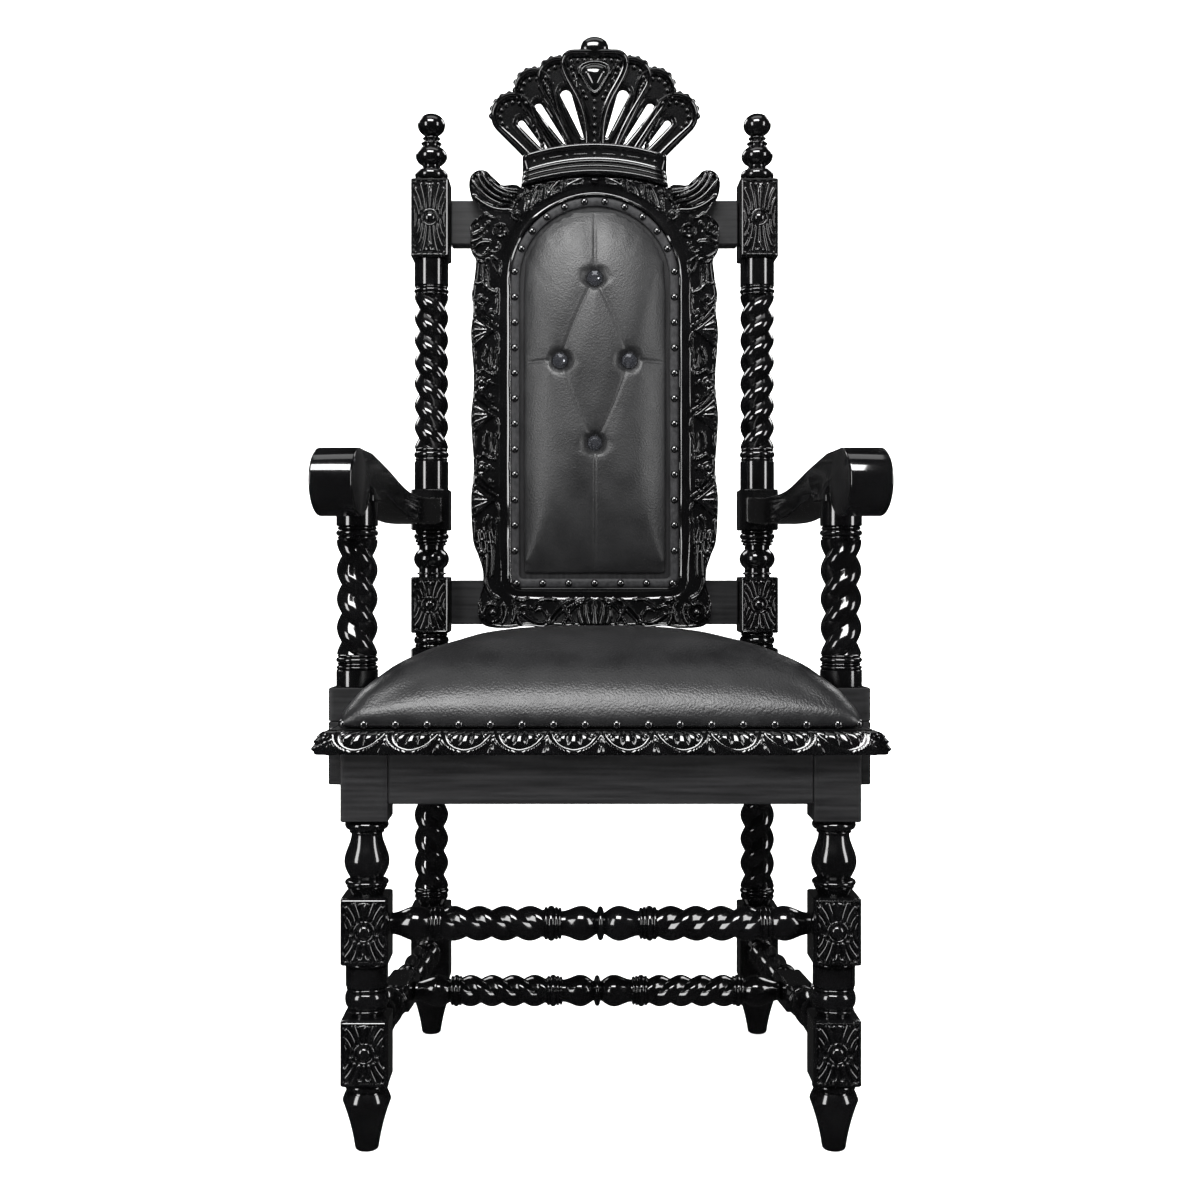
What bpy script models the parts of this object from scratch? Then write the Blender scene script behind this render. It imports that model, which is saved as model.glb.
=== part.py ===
"""A carved high-backed throne: turned and twisted posts, scrolled arms, a domed leather seat,
a tufted back in a carved frame, and an open crown on top.

Metres, +Z up. The sitter faces -Y, and +X is on the right of someone who looks at the front.
The origin is on the floor, in the middle of the throne's footprint.
"""

import math

import bmesh
import bpy
from mathutils import Vector

# Fits
GAP = 0.0003

# Plan of the four uprights
FRONT_SPREAD = 0.4856
REAR_SPREAD = 0.4234
DEPTH_SPREAD = 0.400
POST_WIDTH = 0.049
BLOCK_WIDTH = 0.0505
BLOCK_CHAMFER = 0.0025

# Turning
SIDES = 8
TWIST_STEP = math.radians(60)
GROOVE_SHARE = 0.30
MERGE_DISTANCE = 0.00001
TURNED_RADIUS = 0.0220
BEAD_RADIUS = 0.0228
NECK_RADIUS = 0.0160

# Heights along the front leg, from the floor up
FOOT_HEIGHT = 0.0713
FOOT_SOLE_RADIUS = 0.0135
FOOT_WIDEST_RADIUS = 0.0255
FOOT_WIDEST_HEIGHT = 0.0515
LOW_BLOCK_HEIGHT = 0.0682
LOW_TURNING_HEIGHT = 0.0561
MID_BLOCK_HEIGHT = 0.0694
VASE_HEIGHT = 0.0777
VASE_RADIUS = 0.0235
LEG_BLOCK_DROP = 0.0187

# Seat
RAIL_HEIGHT = 0.0523
RAIL_THICKNESS = 0.022
BOARD_THICKNESS = 0.0247
BOARD_OVERHANG = 0.006
TRIM_DEPTH = 0.0165
SCALLOP_PITCH = 0.0525
SCALLOP_DROP = 0.0075
SCALLOP_STEPS = 4
CUSHION_HEIGHT = 0.0945
CUSHION_FRONT_OVERHANG = 0.0050
CUSHION_CORNER_RADIUS = 0.022
CUSHION_CLEARANCE = 0.003

# Arm posts and arms
ARM_POST_SETBACK = 0.070
ARM_POST_OUTSET = 0.0198
ARM_BLOCK_WIDTH = 0.056
ARM_BLOCK_DEPTH = 0.052
ARM_BLOCK_RISE = 0.0364
ARM_BLOCK_REACH = 0.0425
ARM_CYLINDER_HEIGHT = 0.0228
ARM_TWIST_LENGTH = 0.1243
ARM_TWIST_TURNS = 2.0
ARM_BEAD_HEIGHT = 0.0120
ARM_COLLAR_HEIGHT = 0.0405
ARM_WIDTH = 0.0446
ARM_BACK_THICKNESS = 0.0340
SCROLL_RADIUS = 0.0358
SCROLL_RISE = 0.0183
SCROLL_STEPS = 12
SCROLL_OUTSET = 0.0282

# Rear posts
REAR_BLOCK_HEIGHT = 0.0963
REAR_LOWER_TWIST_TURNS = 2.5
REAR_SEAT_BLOCK_RISE = 0.086
REAR_SEAT_BLOCK_DROP = 0.0044
LOWER_CARVED_HEIGHT = 0.0720
LOWER_CARVED_LIFT = 0.020
ARM_JOINT_HEIGHT = 0.0524
UPPER_CYLINDER_HEIGHT = 0.0374
UPPER_BEAD_HEIGHT = 0.0168
UPPER_TWIST_LENGTH = 0.1980
UPPER_TWIST_TURNS = 3.5
TOP_CYLINDER_HEIGHT = 0.0466
UPPER_CARVED_HEIGHT = 0.1011
COLLAR_HEIGHT = 0.0191
COLLAR_RADIUS = 0.0215
POST_BALL_RADIUS = 0.0205
POST_BALL_HEIGHT = 0.0290
FINIAL_NECK_HEIGHT = 0.0108
FINIAL_RADIUS = 0.0180
FINIAL_HEIGHT = 0.0304
SWELL_RADIUS = 0.0230

# Stretchers
STRETCHER_RADIUS = 0.0180
STRETCHER_NECK = 0.0110
FRONT_STRETCHER_HEIGHT = 0.2340
SIDE_STRETCHER_HEIGHT = 0.1117
STRETCHER_VASE_LENGTH = 0.0360
STRETCHER_BEAD_LENGTH = 0.0180
STRETCHER_END_LENGTH = 0.0410
STRETCHER_TURNS = 2.0
SIDE_STRETCHER_TURNS = 1.25
HUB_WIDTH = 0.032
HUB_LENGTH = 0.066
HUB_SETBACK = 0.190

# Back rails and the upholstered back
BACK_RAIL_HEIGHT = 0.057
BACK_RAIL_THICKNESS = 0.029
BACK_RAIL_LIFT = 0.003
FRAME_HALF_WIDTH = 0.158
FRAME_THICKNESS = 0.022
FRAME_RELIEF = 0.0075
FRAME_FOOT_DROP = 0.033
OPENING_HALF_WIDTH = 0.1088
OPENING_RISE = 0.019
OPENING_CORNER_RADIUS = 0.017
OPENING_SPRING_DROP = 0.0785
STILE_STATIONS = 18
CORNER_STEPS = 3
LEAF_COUNT = 4
LEAF_FLARE = 0.0035
BAND_WIDTH = 0.0120
BAND_THICKNESS = 0.0050
PANEL_THICKNESS = 0.0110
PAD_CROWN = 0.0260
BUTTON_RADIUS = 0.0105
BUTTON_THICKNESS = 0.0095
BUTTON_SIDES = 8
BUTTON_SINK = 0.0110
BUTTON_SIDE_OFFSET = 0.0438
BUTTON_SPACING = 0.1053
BUTTON_CENTRE_DROP = 0.108

# Crown
CROWN_HEIGHT = 0.181
CROWN_HALF_WIDTH = 0.1344
CROWN_THICKNESS = 0.018
CROWN_BASE_HALF_WIDTH = 0.0955
CROWN_BASE_HEIGHT = 0.042
CROWN_BASE_PROUD = 0.006
CROWN_SAG = 0.0153
CROWN_KNOB_RADIUS = 0.0145


def from_bmesh(name, shape):
    """A new object from a bmesh, with its faces pointing out and round parts smooth."""
    bmesh.ops.recalc_face_normals(shape, faces=shape.faces[:])
    mesh = bpy.data.meshes.new(name)
    shape.to_mesh(mesh)
    shape.free()
    mesh.shade_smooth()
    mesh.set_sharp_from_angle(angle=math.radians(40))
    return bpy.data.objects.new(name, mesh)


def new_material(name, colour, roughness, metallic=0.0, transmission=0.0, coat=0.0):
    material = bpy.data.materials.new(name)
    material.use_nodes = True
    shader = material.node_tree.nodes["Principled BSDF"]
    shader.inputs["Base Color"].default_value = (*colour, 1.0)
    shader.inputs["Roughness"].default_value = roughness
    shader.inputs["Metallic"].default_value = metallic
    shader.inputs["Transmission Weight"].default_value = transmission
    shader.inputs["Coat Weight"].default_value = coat
    return material


def loft(name, rings, closed=False):
    """Skin a row of point rings of equal length. An open row is capped, a closed one meets its start."""
    shape = bmesh.new()
    rows = [[shape.verts.new(point) for point in ring] for ring in rings]
    pairs = list(zip(rows, rows[1:]))
    if closed:
        pairs.append((rows[-1], rows[0]))
    for low, high in pairs:
        for k in range(len(low)):
            after = (k + 1) % len(low)
            shape.faces.new((low[k], low[after], high[after], high[k]))
    if not closed:
        shape.faces.new(rows[0])
        shape.faces.new(rows[-1])
    return from_bmesh(name, shape)


def prism(name, outline, low, high, bevel=0.0, upright=False):
    """A flat outline given thickness along Z, or along Y when it stands upright in X and Z."""
    if upright:
        rings = [[(x, y, z) for x, z in outline] for y in (low, high)]
    else:
        rings = [[(x, y, z) for x, y in outline] for z in (low, high)]
    solid = loft(name, rings)
    if bevel:
        edge = solid.modifiers.new("Edge", "BEVEL")
        edge.width = bevel
        edge.segments = 1
        edge.limit_method = "ANGLE"
    return solid


def box(name, x0, x1, y0, y1, z0, z1, bevel=0.0015):
    return prism(name, [(x0, y0), (x1, y0), (x1, y1), (x0, y1)], z0, z1, bevel)


def combine(target, operation, other):
    """Join or cut one mesh with another and keep only the result."""
    modifier = target.modifiers.new(operation.title(), "BOOLEAN")
    modifier.operation = operation
    modifier.object = other
    modifier.solver = "EXACT"


ROUND_SWELL = math.sqrt(2 * math.pi / (SIDES * math.sin(2 * math.pi / SIDES)))


class Turning:
    """A turned or squared length of wood, grown upwards along Z one feature at a time.

    Each feature adds rings of SIDES points. The points of a ring turn with the twist, so that
    the ridges of a twisted length run along the edges of the mesh.
    """

    def __init__(self, start, hand=1):
        self.level = start
        self.hand = hand
        self.turned = 0.0
        self.rings = []

    def ring(self, radius):
        """A round ring. Its corners stand out a little, so that it has the area of the true circle."""
        step = 2 * math.pi / SIDES
        radius *= ROUND_SWELL
        angles = [(k + 0.5) * step + self.turned for k in range(SIDES)]
        self.rings.append([(radius * math.cos(a), radius * math.sin(a), self.level) for a in angles])
        return self

    def rise(self, height, radius):
        self.level += height
        return self.ring(radius)

    def cylinder(self, height, radius):
        return self.ring(radius).rise(height, radius)

    def bead(self, height, neck, radius):
        return self.ring(neck).rise(height / 2, radius).rise(height / 2, neck)

    def ball(self, height, neck, radius):
        """A round swelling: the radius follows half a circle, and never falls below the neck."""
        start = self.level
        for share in (0.0, 0.16, 0.5, 0.84, 1.0):
            self.level = start + height * share
            self.ring(max(neck, radius * math.sqrt(1 - (2 * share - 1) ** 2)))
        return self

    def vase(self, height, wide_end, radius, narrow_end, belly=0.35):
        """A swelling with its belly at a share of the height, drawn in to a neck at the far end."""
        start = self.level
        for share in (0.0, 1.0):
            self.level = start + height * belly * share
            self.ring(wide_end + (radius - wide_end) * math.sin(share * math.pi / 2))
        for share in (0.5, 1.0):
            self.level = start + height * (belly + (1 - belly) * share)
            self.ring(narrow_end + (radius - narrow_end) * (1 + math.cos(share * math.pi)) / 2)
        return self

    def square(self, half):
        """A ring of the same number of points round a square with chamfered corners."""
        per_corner = SIDES // 4
        points = []
        for k in range(SIDES):
            corner, place_in_corner = divmod(k, per_corner)
            share = place_in_corner / (per_corner - 1)
            x, y = half - BLOCK_CHAMFER * share, half - BLOCK_CHAMFER * (1 - share)
            for _ in range(corner):
                x, y = -y, x
            points.append((x, y, self.level))
        shift = round(self.turned / (2 * math.pi / SIDES))
        self.rings.append([points[(k + shift) % SIDES] for k in range(SIDES)])
        return self

    def block(self, height, width):
        """A square block with chamfered corners and flat shoulders."""
        self.square(width / 2)
        self.level += height
        return self.square(width / 2)

    def twist(self, length, radius, turns):
        """Two ridges wound round the length: the radius is a cosine of twice the angle from a ridge."""
        total = turns * 2 * math.pi
        steps = max(1, math.ceil(total / TWIST_STEP - 0.001))
        start, first = self.level, self.turned
        for i in range(steps + 1):
            share = i / steps
            self.level = start + length * share
            self.turned = first + self.hand * total * share
            ring = []
            for k in range(SIDES):
                from_ridge = 2 * math.pi * k / SIDES
                angle = from_ridge + math.pi / SIDES + self.turned
                swell = 0.5 + 0.5 * math.cos(2 * from_ridge)
                r = radius * ROUND_SWELL * (1 - GROOVE_SHARE * (1 - swell))
                ring.append((r * math.cos(angle), r * math.sin(angle), self.level))
            self.rings.append(ring)
        return self

    def solid(self, name):
        """The finished length. Neighbouring rings that coincide are kept once."""
        kept = [self.rings[0]]
        for ring in self.rings[1:]:
            moved = max(math.dist(a, b) for a, b in zip(ring, kept[-1]))
            if moved > MERGE_DISTANCE:
                kept.append(ring)
        return loft(name, kept)


# Levels and places that follow from the sizes above
FRONT_OVERHANG = POST_WIDTH / 2 + BOARD_OVERHANG + GAP + TRIM_DEPTH
FRONT_Y = -DEPTH_SPREAD / 2 + (FRONT_OVERHANG - BLOCK_WIDTH / 2) / 2
REAR_Y = FRONT_Y + DEPTH_SPREAD
FRONT_X = FRONT_SPREAD / 2
REAR_X = REAR_SPREAD / 2
LEG_BLOCK_LEVEL = FOOT_HEIGHT + LOW_BLOCK_HEIGHT + LOW_TURNING_HEIGHT + MID_BLOCK_HEIGHT + VASE_HEIGHT
RAIL_LEVEL = LEG_BLOCK_LEVEL + LEG_BLOCK_DROP
RAIL_TOP = RAIL_LEVEL + RAIL_HEIGHT
BOARD_LEVEL = RAIL_TOP + GAP
BOARD_TOP = BOARD_LEVEL + BOARD_THICKNESS
CUSHION_LEVEL = BOARD_TOP + GAP
ARM_POST_X = FRONT_X + ARM_POST_OUTSET
ARM_POST_Y = FRONT_Y + ARM_POST_SETBACK
ARM_BLOCK_TOP = BOARD_TOP + ARM_BLOCK_RISE
ARM_POST_TOP = (
    ARM_BLOCK_TOP + ARM_CYLINDER_HEIGHT + ARM_BEAD_HEIGHT + ARM_TWIST_LENGTH + ARM_COLLAR_HEIGHT
)
SCROLL_LEVEL = ARM_POST_TOP + SCROLL_RISE
ARM_BACK_LEVEL = ARM_POST_TOP + GAP + ARM_BACK_THICKNESS * 0.1
SEAT_BLOCK_LEVEL = RAIL_LEVEL - REAR_SEAT_BLOCK_DROP
SEAT_BLOCK_TOP = RAIL_TOP + REAR_SEAT_BLOCK_RISE
LOWER_CARVED_LEVEL = SEAT_BLOCK_TOP + LOWER_CARVED_LIFT
ARM_JOINT_LEVEL = ARM_BACK_LEVEL - ARM_JOINT_HEIGHT / 2
UPPER_CARVED_LEVEL = (
    ARM_JOINT_LEVEL + ARM_JOINT_HEIGHT + UPPER_CYLINDER_HEIGHT + UPPER_BEAD_HEIGHT
    + UPPER_TWIST_LENGTH + TOP_CYLINDER_HEIGHT
)
LOWER_RAIL_LEVEL = LOWER_CARVED_LEVEL + (LOWER_CARVED_HEIGHT - BACK_RAIL_HEIGHT) / 2 + BACK_RAIL_LIFT
UPPER_RAIL_LEVEL = UPPER_CARVED_LEVEL + (UPPER_CARVED_HEIGHT - BACK_RAIL_HEIGHT) / 2 - BACK_RAIL_LIFT
RAIL_ANGLE = math.atan2(FRONT_X - REAR_X, DEPTH_SPREAD)
BACK_RAIL_FRONT = REAR_Y - POST_WIDTH / 2 + 0.017


def side_edge(y, outward=0.0):
    """X of a line along the seat's right side, a given distance outside the side rail's face."""
    share = (y - FRONT_Y) / DEPTH_SPREAD
    face = FRONT_X + POST_WIDTH / 2 + (REAR_X - FRONT_X) * share
    return face + outward / math.cos(RAIL_ANGLE)


def foot(turning):
    """The tapered turned foot, widest two thirds of the way up, with a bead under the block."""
    turning.ring(FOOT_SOLE_RADIUS * 0.85).rise(FOOT_SOLE_RADIUS * 0.2, FOOT_SOLE_RADIUS)
    turning.rise(FOOT_WIDEST_HEIGHT * 0.5 - turning.level, FOOT_WIDEST_RADIUS * 0.76)
    turning.rise(FOOT_WIDEST_HEIGHT - turning.level, FOOT_WIDEST_RADIUS)
    bead = (FOOT_HEIGHT - FOOT_WIDEST_HEIGHT) * 0.42
    turning.rise(FOOT_HEIGHT - bead - turning.level, TURNED_RADIUS * 0.94)
    return turning.bead(bead, TURNED_RADIUS * 0.94, BEAD_RADIUS)


def front_leg(name):
    leg = foot(Turning(0.0))
    leg.block(LOW_BLOCK_HEIGHT, BLOCK_WIDTH)
    flare = LOW_TURNING_HEIGHT * 0.14
    beads = LOW_TURNING_HEIGHT * 0.32
    leg.ring(TURNED_RADIUS * 0.8).rise(flare, TURNED_RADIUS * 0.9)
    leg.bead(beads, TURNED_RADIUS * 0.9, BEAD_RADIUS)
    leg.cylinder(LOW_TURNING_HEIGHT - flare - beads, TURNED_RADIUS)
    leg.block(MID_BLOCK_HEIGHT, BLOCK_WIDTH)
    flare = VASE_HEIGHT * 0.15
    ring = VASE_HEIGHT * 0.08
    beads = VASE_HEIGHT * 0.18
    leg.ring(TURNED_RADIUS * 0.8).rise(flare, TURNED_RADIUS)
    leg.bead(ring, TURNED_RADIUS * 0.9, BEAD_RADIUS)
    leg.vase(VASE_HEIGHT - flare - ring - beads, TURNED_RADIUS * 0.8, VASE_RADIUS, NECK_RADIUS)
    leg.bead(beads, NECK_RADIUS, BEAD_RADIUS)
    leg.block(RAIL_TOP - leg.level, POST_WIDTH)
    return leg.solid(name)


def rear_post(name, hand):
    """The full height post, square where rails, arm and stretcher meet it and twisted between."""
    post = foot(Turning(0.0, hand))
    post.block(REAR_BLOCK_HEIGHT, POST_WIDTH)
    bead = LOWER_CARVED_LIFT * 0.55
    post.ring(TURNED_RADIUS * 0.8).rise(bead, TURNED_RADIUS)
    post.bead(bead, TURNED_RADIUS * 0.9, BEAD_RADIUS)
    post.twist(SEAT_BLOCK_LEVEL - bead - post.level, TURNED_RADIUS, REAR_LOWER_TWIST_TURNS)
    post.bead(bead, TURNED_RADIUS * 0.9, BEAD_RADIUS)
    post.block(SEAT_BLOCK_TOP - post.level, POST_WIDTH)
    post.bead(LOWER_CARVED_LIFT, TURNED_RADIUS * 0.85, BEAD_RADIUS)
    post.block(LOWER_CARVED_HEIGHT, BLOCK_WIDTH)
    beads = LOWER_CARVED_LIFT
    post.ring(TURNED_RADIUS * 0.8).rise(beads * 0.3, TURNED_RADIUS * 0.75)
    post.ball(ARM_JOINT_LEVEL - beads - post.level, TURNED_RADIUS * 0.75, SWELL_RADIUS)
    post.bead(beads, TURNED_RADIUS * 0.85, BEAD_RADIUS)
    post.block(ARM_JOINT_HEIGHT, POST_WIDTH)
    post.cylinder(UPPER_CYLINDER_HEIGHT, TURNED_RADIUS)
    post.bead(UPPER_BEAD_HEIGHT, TURNED_RADIUS * 0.9, BEAD_RADIUS)
    post.twist(UPPER_TWIST_LENGTH, TURNED_RADIUS, UPPER_TWIST_TURNS)
    post.bead(TOP_CYLINDER_HEIGHT * 0.25, TURNED_RADIUS * 0.9, BEAD_RADIUS)
    post.cylinder(TOP_CYLINDER_HEIGHT * 0.75, TURNED_RADIUS)
    post.block(UPPER_CARVED_HEIGHT, BLOCK_WIDTH)
    post.ring(NECK_RADIUS).rise(COLLAR_HEIGHT * 0.5, COLLAR_RADIUS).rise(COLLAR_HEIGHT * 0.5, NECK_RADIUS)
    post.ball(POST_BALL_HEIGHT, NECK_RADIUS * 0.7, POST_BALL_RADIUS)
    post.bead(FINIAL_NECK_HEIGHT, NECK_RADIUS * 0.6, NECK_RADIUS * 0.8)
    post.ball(FINIAL_HEIGHT, NECK_RADIUS * 0.35, FINIAL_RADIUS)
    return post.solid(name)


def arm_post(name, side, cutters):
    """The twisted arm support. Its square foot is lapped over the board and down the side rail."""
    post = Turning(BOARD_LEVEL - ARM_BLOCK_REACH, side)
    post.block(ARM_BLOCK_TOP - post.level, ARM_BLOCK_DEPTH)
    post.cylinder(ARM_CYLINDER_HEIGHT, BEAD_RADIUS)
    post.bead(ARM_BEAD_HEIGHT, TURNED_RADIUS * 0.85, BEAD_RADIUS)
    post.twist(ARM_TWIST_LENGTH, TURNED_RADIUS, ARM_TWIST_TURNS)
    post.bead(ARM_COLLAR_HEIGHT * 0.35, TURNED_RADIUS * 0.85, BEAD_RADIUS)
    post.cylinder(ARM_COLLAR_HEIGHT * 0.65, BEAD_RADIUS)
    solid = post.solid(name)
    lap = side_edge(ARM_POST_Y, GAP) - ARM_POST_X
    reach = ARM_BLOCK_WIDTH
    inner, outer = sorted((-side * reach, side * lap * math.cos(RAIL_ANGLE)))
    cutter = box(name + "_lap", inner, outer, -reach, reach, 0.0, CUSHION_LEVEL, bevel=0)
    cutters.append(cutter)
    combine(solid, "DIFFERENCE", cutter)
    return solid


def smooth_points(points, steps):
    """Points along a smooth curve through a few chosen ones (Catmull and Rom's cubic)."""
    ends = [points[0], *points, points[-1]]
    row = []
    for p0, p1, p2, p3 in zip(ends, ends[1:], ends[2:], ends[3:]):
        for i in range(steps):
            t = i / steps
            row.append(tuple(
                0.5 * (2 * b + (c - a) * t + (2 * a - 5 * b + 4 * c - d) * t * t
                       + (3 * b - a - 3 * c + d) * t ** 3)
                for a, b, c, d in zip(p0, p1, p2, p3)
            ))
    return [*row, points[-1]]


def arm(name, side):
    """A bar sawn to a long S, ending in a round scroll, and splayed outwards in plan.

    The outline is in Y and Z. Its top runs from the rear post to the scroll, and its underside
    has a notch behind the scroll, a flat seat on the arm post and a long belly.
    """
    back = REAR_Y - POST_WIDTH / 2 - GAP
    length = back - FRONT_Y
    post_front = ARM_POST_Y - BEAD_RADIUS
    post_back = ARM_POST_Y + BEAD_RADIUS
    under = ARM_POST_TOP + GAP
    high = ARM_BACK_LEVEL + ARM_BACK_THICKNESS / 2
    low = ARM_BACK_LEVEL - ARM_BACK_THICKNESS / 2
    thick = ARM_BACK_THICKNESS
    top = smooth_points(
        [
            (back, high),
            (back - length * 0.22, high - thick * 0.16),
            (back - length * 0.47, high - thick * 0.05),
            (back - length * 0.71, high + thick * 0.53),
            (back - length * 0.88, SCROLL_LEVEL + SCROLL_RADIUS * 0.93),
        ],
        2,
    )
    scroll = []
    for i in range(SCROLL_STEPS + 1):
        angle = math.radians(80 + 275 * i / SCROLL_STEPS)
        scroll.append((
            FRONT_Y + SCROLL_RADIUS * math.cos(angle), SCROLL_LEVEL + SCROLL_RADIUS * math.sin(angle)
        ))
    belly = smooth_points(
        [
            (post_back + length * 0.015, under + thick * 0.21),
            (post_back + length * 0.11, under),
            (back - length * 0.42, low - thick * 0.05),
            (back - length * 0.21, low - thick * 0.12),
            (back, low),
        ],
        2,
    )
    outline = [*top, *scroll, (post_front, under), (post_back, under), *belly]
    splay = (FRONT_X + SCROLL_OUTSET - REAR_X) / (REAR_Y - FRONT_Y)
    rings = [
        [(side * (REAR_X + splay * (REAR_Y - y)) + across * ARM_WIDTH, y, z) for y, z in outline]
        for across in (-0.5, 0.5)
    ]
    return loft(name, rings)


def half_stretcher(turning, twist_length):
    """From the middle ring outwards: vase, beads, twist, beads, and the end swelling."""
    bead = STRETCHER_BEAD_LENGTH
    turning.ring(STRETCHER_RADIUS).rise(bead * 0.2, STRETCHER_NECK)
    turning.vase(STRETCHER_VASE_LENGTH, STRETCHER_NECK, STRETCHER_RADIUS, STRETCHER_NECK, 0.5)
    turning.bead(bead, STRETCHER_RADIUS * 0.85, STRETCHER_RADIUS)
    turning.twist(twist_length, STRETCHER_RADIUS, STRETCHER_TURNS)
    turning.bead(bead * 0.7, STRETCHER_RADIUS * 0.85, STRETCHER_RADIUS)
    return turning.vase(
        STRETCHER_END_LENGTH, STRETCHER_NECK, STRETCHER_RADIUS, STRETCHER_NECK, 0.5
    )


def long_stretcher(name, length):
    """A stretcher along X, alike on both sides of its middle ring."""
    fixed = STRETCHER_BEAD_LENGTH * 1.9 + STRETCHER_VASE_LENGTH + STRETCHER_END_LENGTH
    halves = {}
    for hand in (-1, 1):
        turning = half_stretcher(Turning(0.0, hand), length / 2 - fixed)
        halves[hand] = [[(hand * z, x, y) for x, y, z in ring] for ring in turning.rings]
    rings = [*reversed(halves[-1]), *halves[1][1:]]
    kept = [rings[0]]
    for ring in rings[1:]:
        if max(math.dist(a, b) for a, b in zip(ring, kept[-1])) > MERGE_DISTANCE:
            kept.append(ring)
    return loft(name, kept)


def side_stretcher(name, side, length):
    """A stretcher from a front leg back to a rear post, with a square hub for the cross stretcher."""
    rod = Turning(0.0, side)
    bead = STRETCHER_BEAD_LENGTH * 0.6
    front = HUB_SETBACK - BLOCK_WIDTH / 2 - HUB_LENGTH / 2
    for part_length in (front, length - front - HUB_LENGTH):
        rod.ring(STRETCHER_NECK).rise(bead * 0.5, STRETCHER_RADIUS * 0.85)
        rod.twist(part_length - 3 * bead, STRETCHER_RADIUS, SIDE_STRETCHER_TURNS)
        rod.bead(bead, STRETCHER_RADIUS * 0.85, STRETCHER_RADIUS)
        rod.rise(bead * 1.5, STRETCHER_NECK)
        if part_length == front:
            rod.block(HUB_LENGTH, HUB_WIDTH)
    return rod.solid(name)


def cushion_outline():
    """The cushion's plan: a trapezium with round corners, just inside the edge of the board."""
    front = FRONT_Y - POST_WIDTH / 2 - BOARD_OVERHANG - CUSHION_FRONT_OVERHANG
    back = REAR_Y - POST_WIDTH / 2 - CUSHION_CLEARANCE
    radius = CUSHION_CORNER_RADIUS
    half = []
    for level, start in ((front + radius, -90), (back - radius, 0)):
        for i in range(5):
            angle = math.radians(start + 90 * i / 4)
            y = level + radius * math.sin(angle)
            half.append((side_edge(level, CUSHION_CLEARANCE) - radius * (1 - math.cos(angle)), y))
        if start < 0:
            half.extend((side_edge(y, CUSHION_CLEARANCE), y) for y in (front * 0.4, 0.0, back * 0.4))
    mirrored = [(-x, y) for x, y in reversed(half)]
    return [(0.0, front), *half, (0.0, back), *mirrored]


def domed_pad(name, outline, level, crown, toward, fullness=(1.0, 0.97, 0.90, 0.78, 0.58, 0.32)):
    """A pad on a flat outline, swelling to its crown in the middle.

    Each ring is the outline drawn in to a share s of its size, at crown * (1 - s^4)^0.8.
    toward turns a point of the outline and a height into a place in the throne.
    """
    middle_x = (max(x for x, _ in outline) + min(x for x, _ in outline)) / 2
    middle_y = (max(y for _, y in outline) + min(y for _, y in outline)) / 2
    rings = []
    for share in fullness:
        height = level + crown * (1 - share ** 4) ** 0.8
        rings.append([
            toward(middle_x + (x - middle_x) * share, middle_y + (y - middle_y) * share, height)
            for x, y in outline
        ])
    return loft(name, rings)


def trim_strip(name, start, end, start_mitre, end_mitre, scallops):
    """The scalloped moulding along one edge of the board.

    start and end are the inner corners in plan. A mitre is how far each end runs on for every
    unit of depth. The lower edge hangs in round scallops, one SCALLOP_PITCH long.
    """
    start, end = Vector(start), Vector(end)
    along = (end - start).normalized()
    out = Vector((along.y, -along.x))
    length = (end - start).length
    section = ((0.0, 0.0), (0.70, 0.0), (1.0, 0.35), (0.70, 0.90), (0.0, 1.0))
    rings = []
    count = scallops * SCALLOP_STEPS
    for i in range(count + 1):
        share = i / count
        in_scallop = (i % SCALLOP_STEPS) / SCALLOP_STEPS
        hang = 1 - (2 * in_scallop - 1) ** 2
        height = BOARD_THICKNESS - SCALLOP_DROP * (1 - hang)
        ring = []
        for depth, drop in section:
            depth = depth * TRIM_DEPTH * (1 if depth < 0.5 else 0.90 + 0.10 * hang)
            reach = -start_mitre * depth + (length + (start_mitre + end_mitre) * depth) * share
            x, y = start + along * reach + out * depth
            ring.append((x, y, BOARD_TOP - height * drop))
        rings.append(ring)
    return loft(name, rings)


def arch_outline(half_width, bottom, spring, corner, arch_steps=12):
    """Round arch over straight sides, counter-clockwise in X and Z from the lower right corner."""
    points = []
    for i in range(CORNER_STEPS + 1):
        angle = math.radians(-90 + 90 * i / CORNER_STEPS)
        points.append((
            half_width - corner + corner * math.cos(angle), bottom + corner + corner * math.sin(angle)
        ))
    for i in range(arch_steps + 1):
        angle = math.pi * i / arch_steps
        points.append((half_width * math.cos(angle), spring + half_width * math.sin(angle)))
    for i in range(CORNER_STEPS + 1):
        angle = math.radians(180 + 90 * i / CORNER_STEPS)
        points.append((
            -half_width + corner + corner * math.cos(angle), bottom + corner + corner * math.sin(angle)
        ))
    return points


# The back's levels
OPENING_LEVEL = LOWER_RAIL_LEVEL + OPENING_RISE + BACK_RAIL_HEIGHT / 2
SPRING_LEVEL = UPPER_RAIL_LEVEL + BACK_RAIL_HEIGHT / 2 - OPENING_SPRING_DROP
ARCH_TOP = SPRING_LEVEL + OPENING_HALF_WIDTH
FRAME_FOOT = LOWER_RAIL_LEVEL + BACK_RAIL_HEIGHT / 2 - FRAME_FOOT_DROP
FRAME_BACK = BACK_RAIL_FRONT - GAP
FRAME_FRONT = FRAME_BACK - FRAME_THICKNESS
CREST_LEVEL = ARCH_TOP + 0.025


def crest_edge(x, gap=0.0):
    """The arched line where the crown sits on the frame."""
    return CREST_LEVEL + gap - CROWN_SAG * (x / CROWN_BASE_HALF_WIDTH) ** 2


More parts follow.
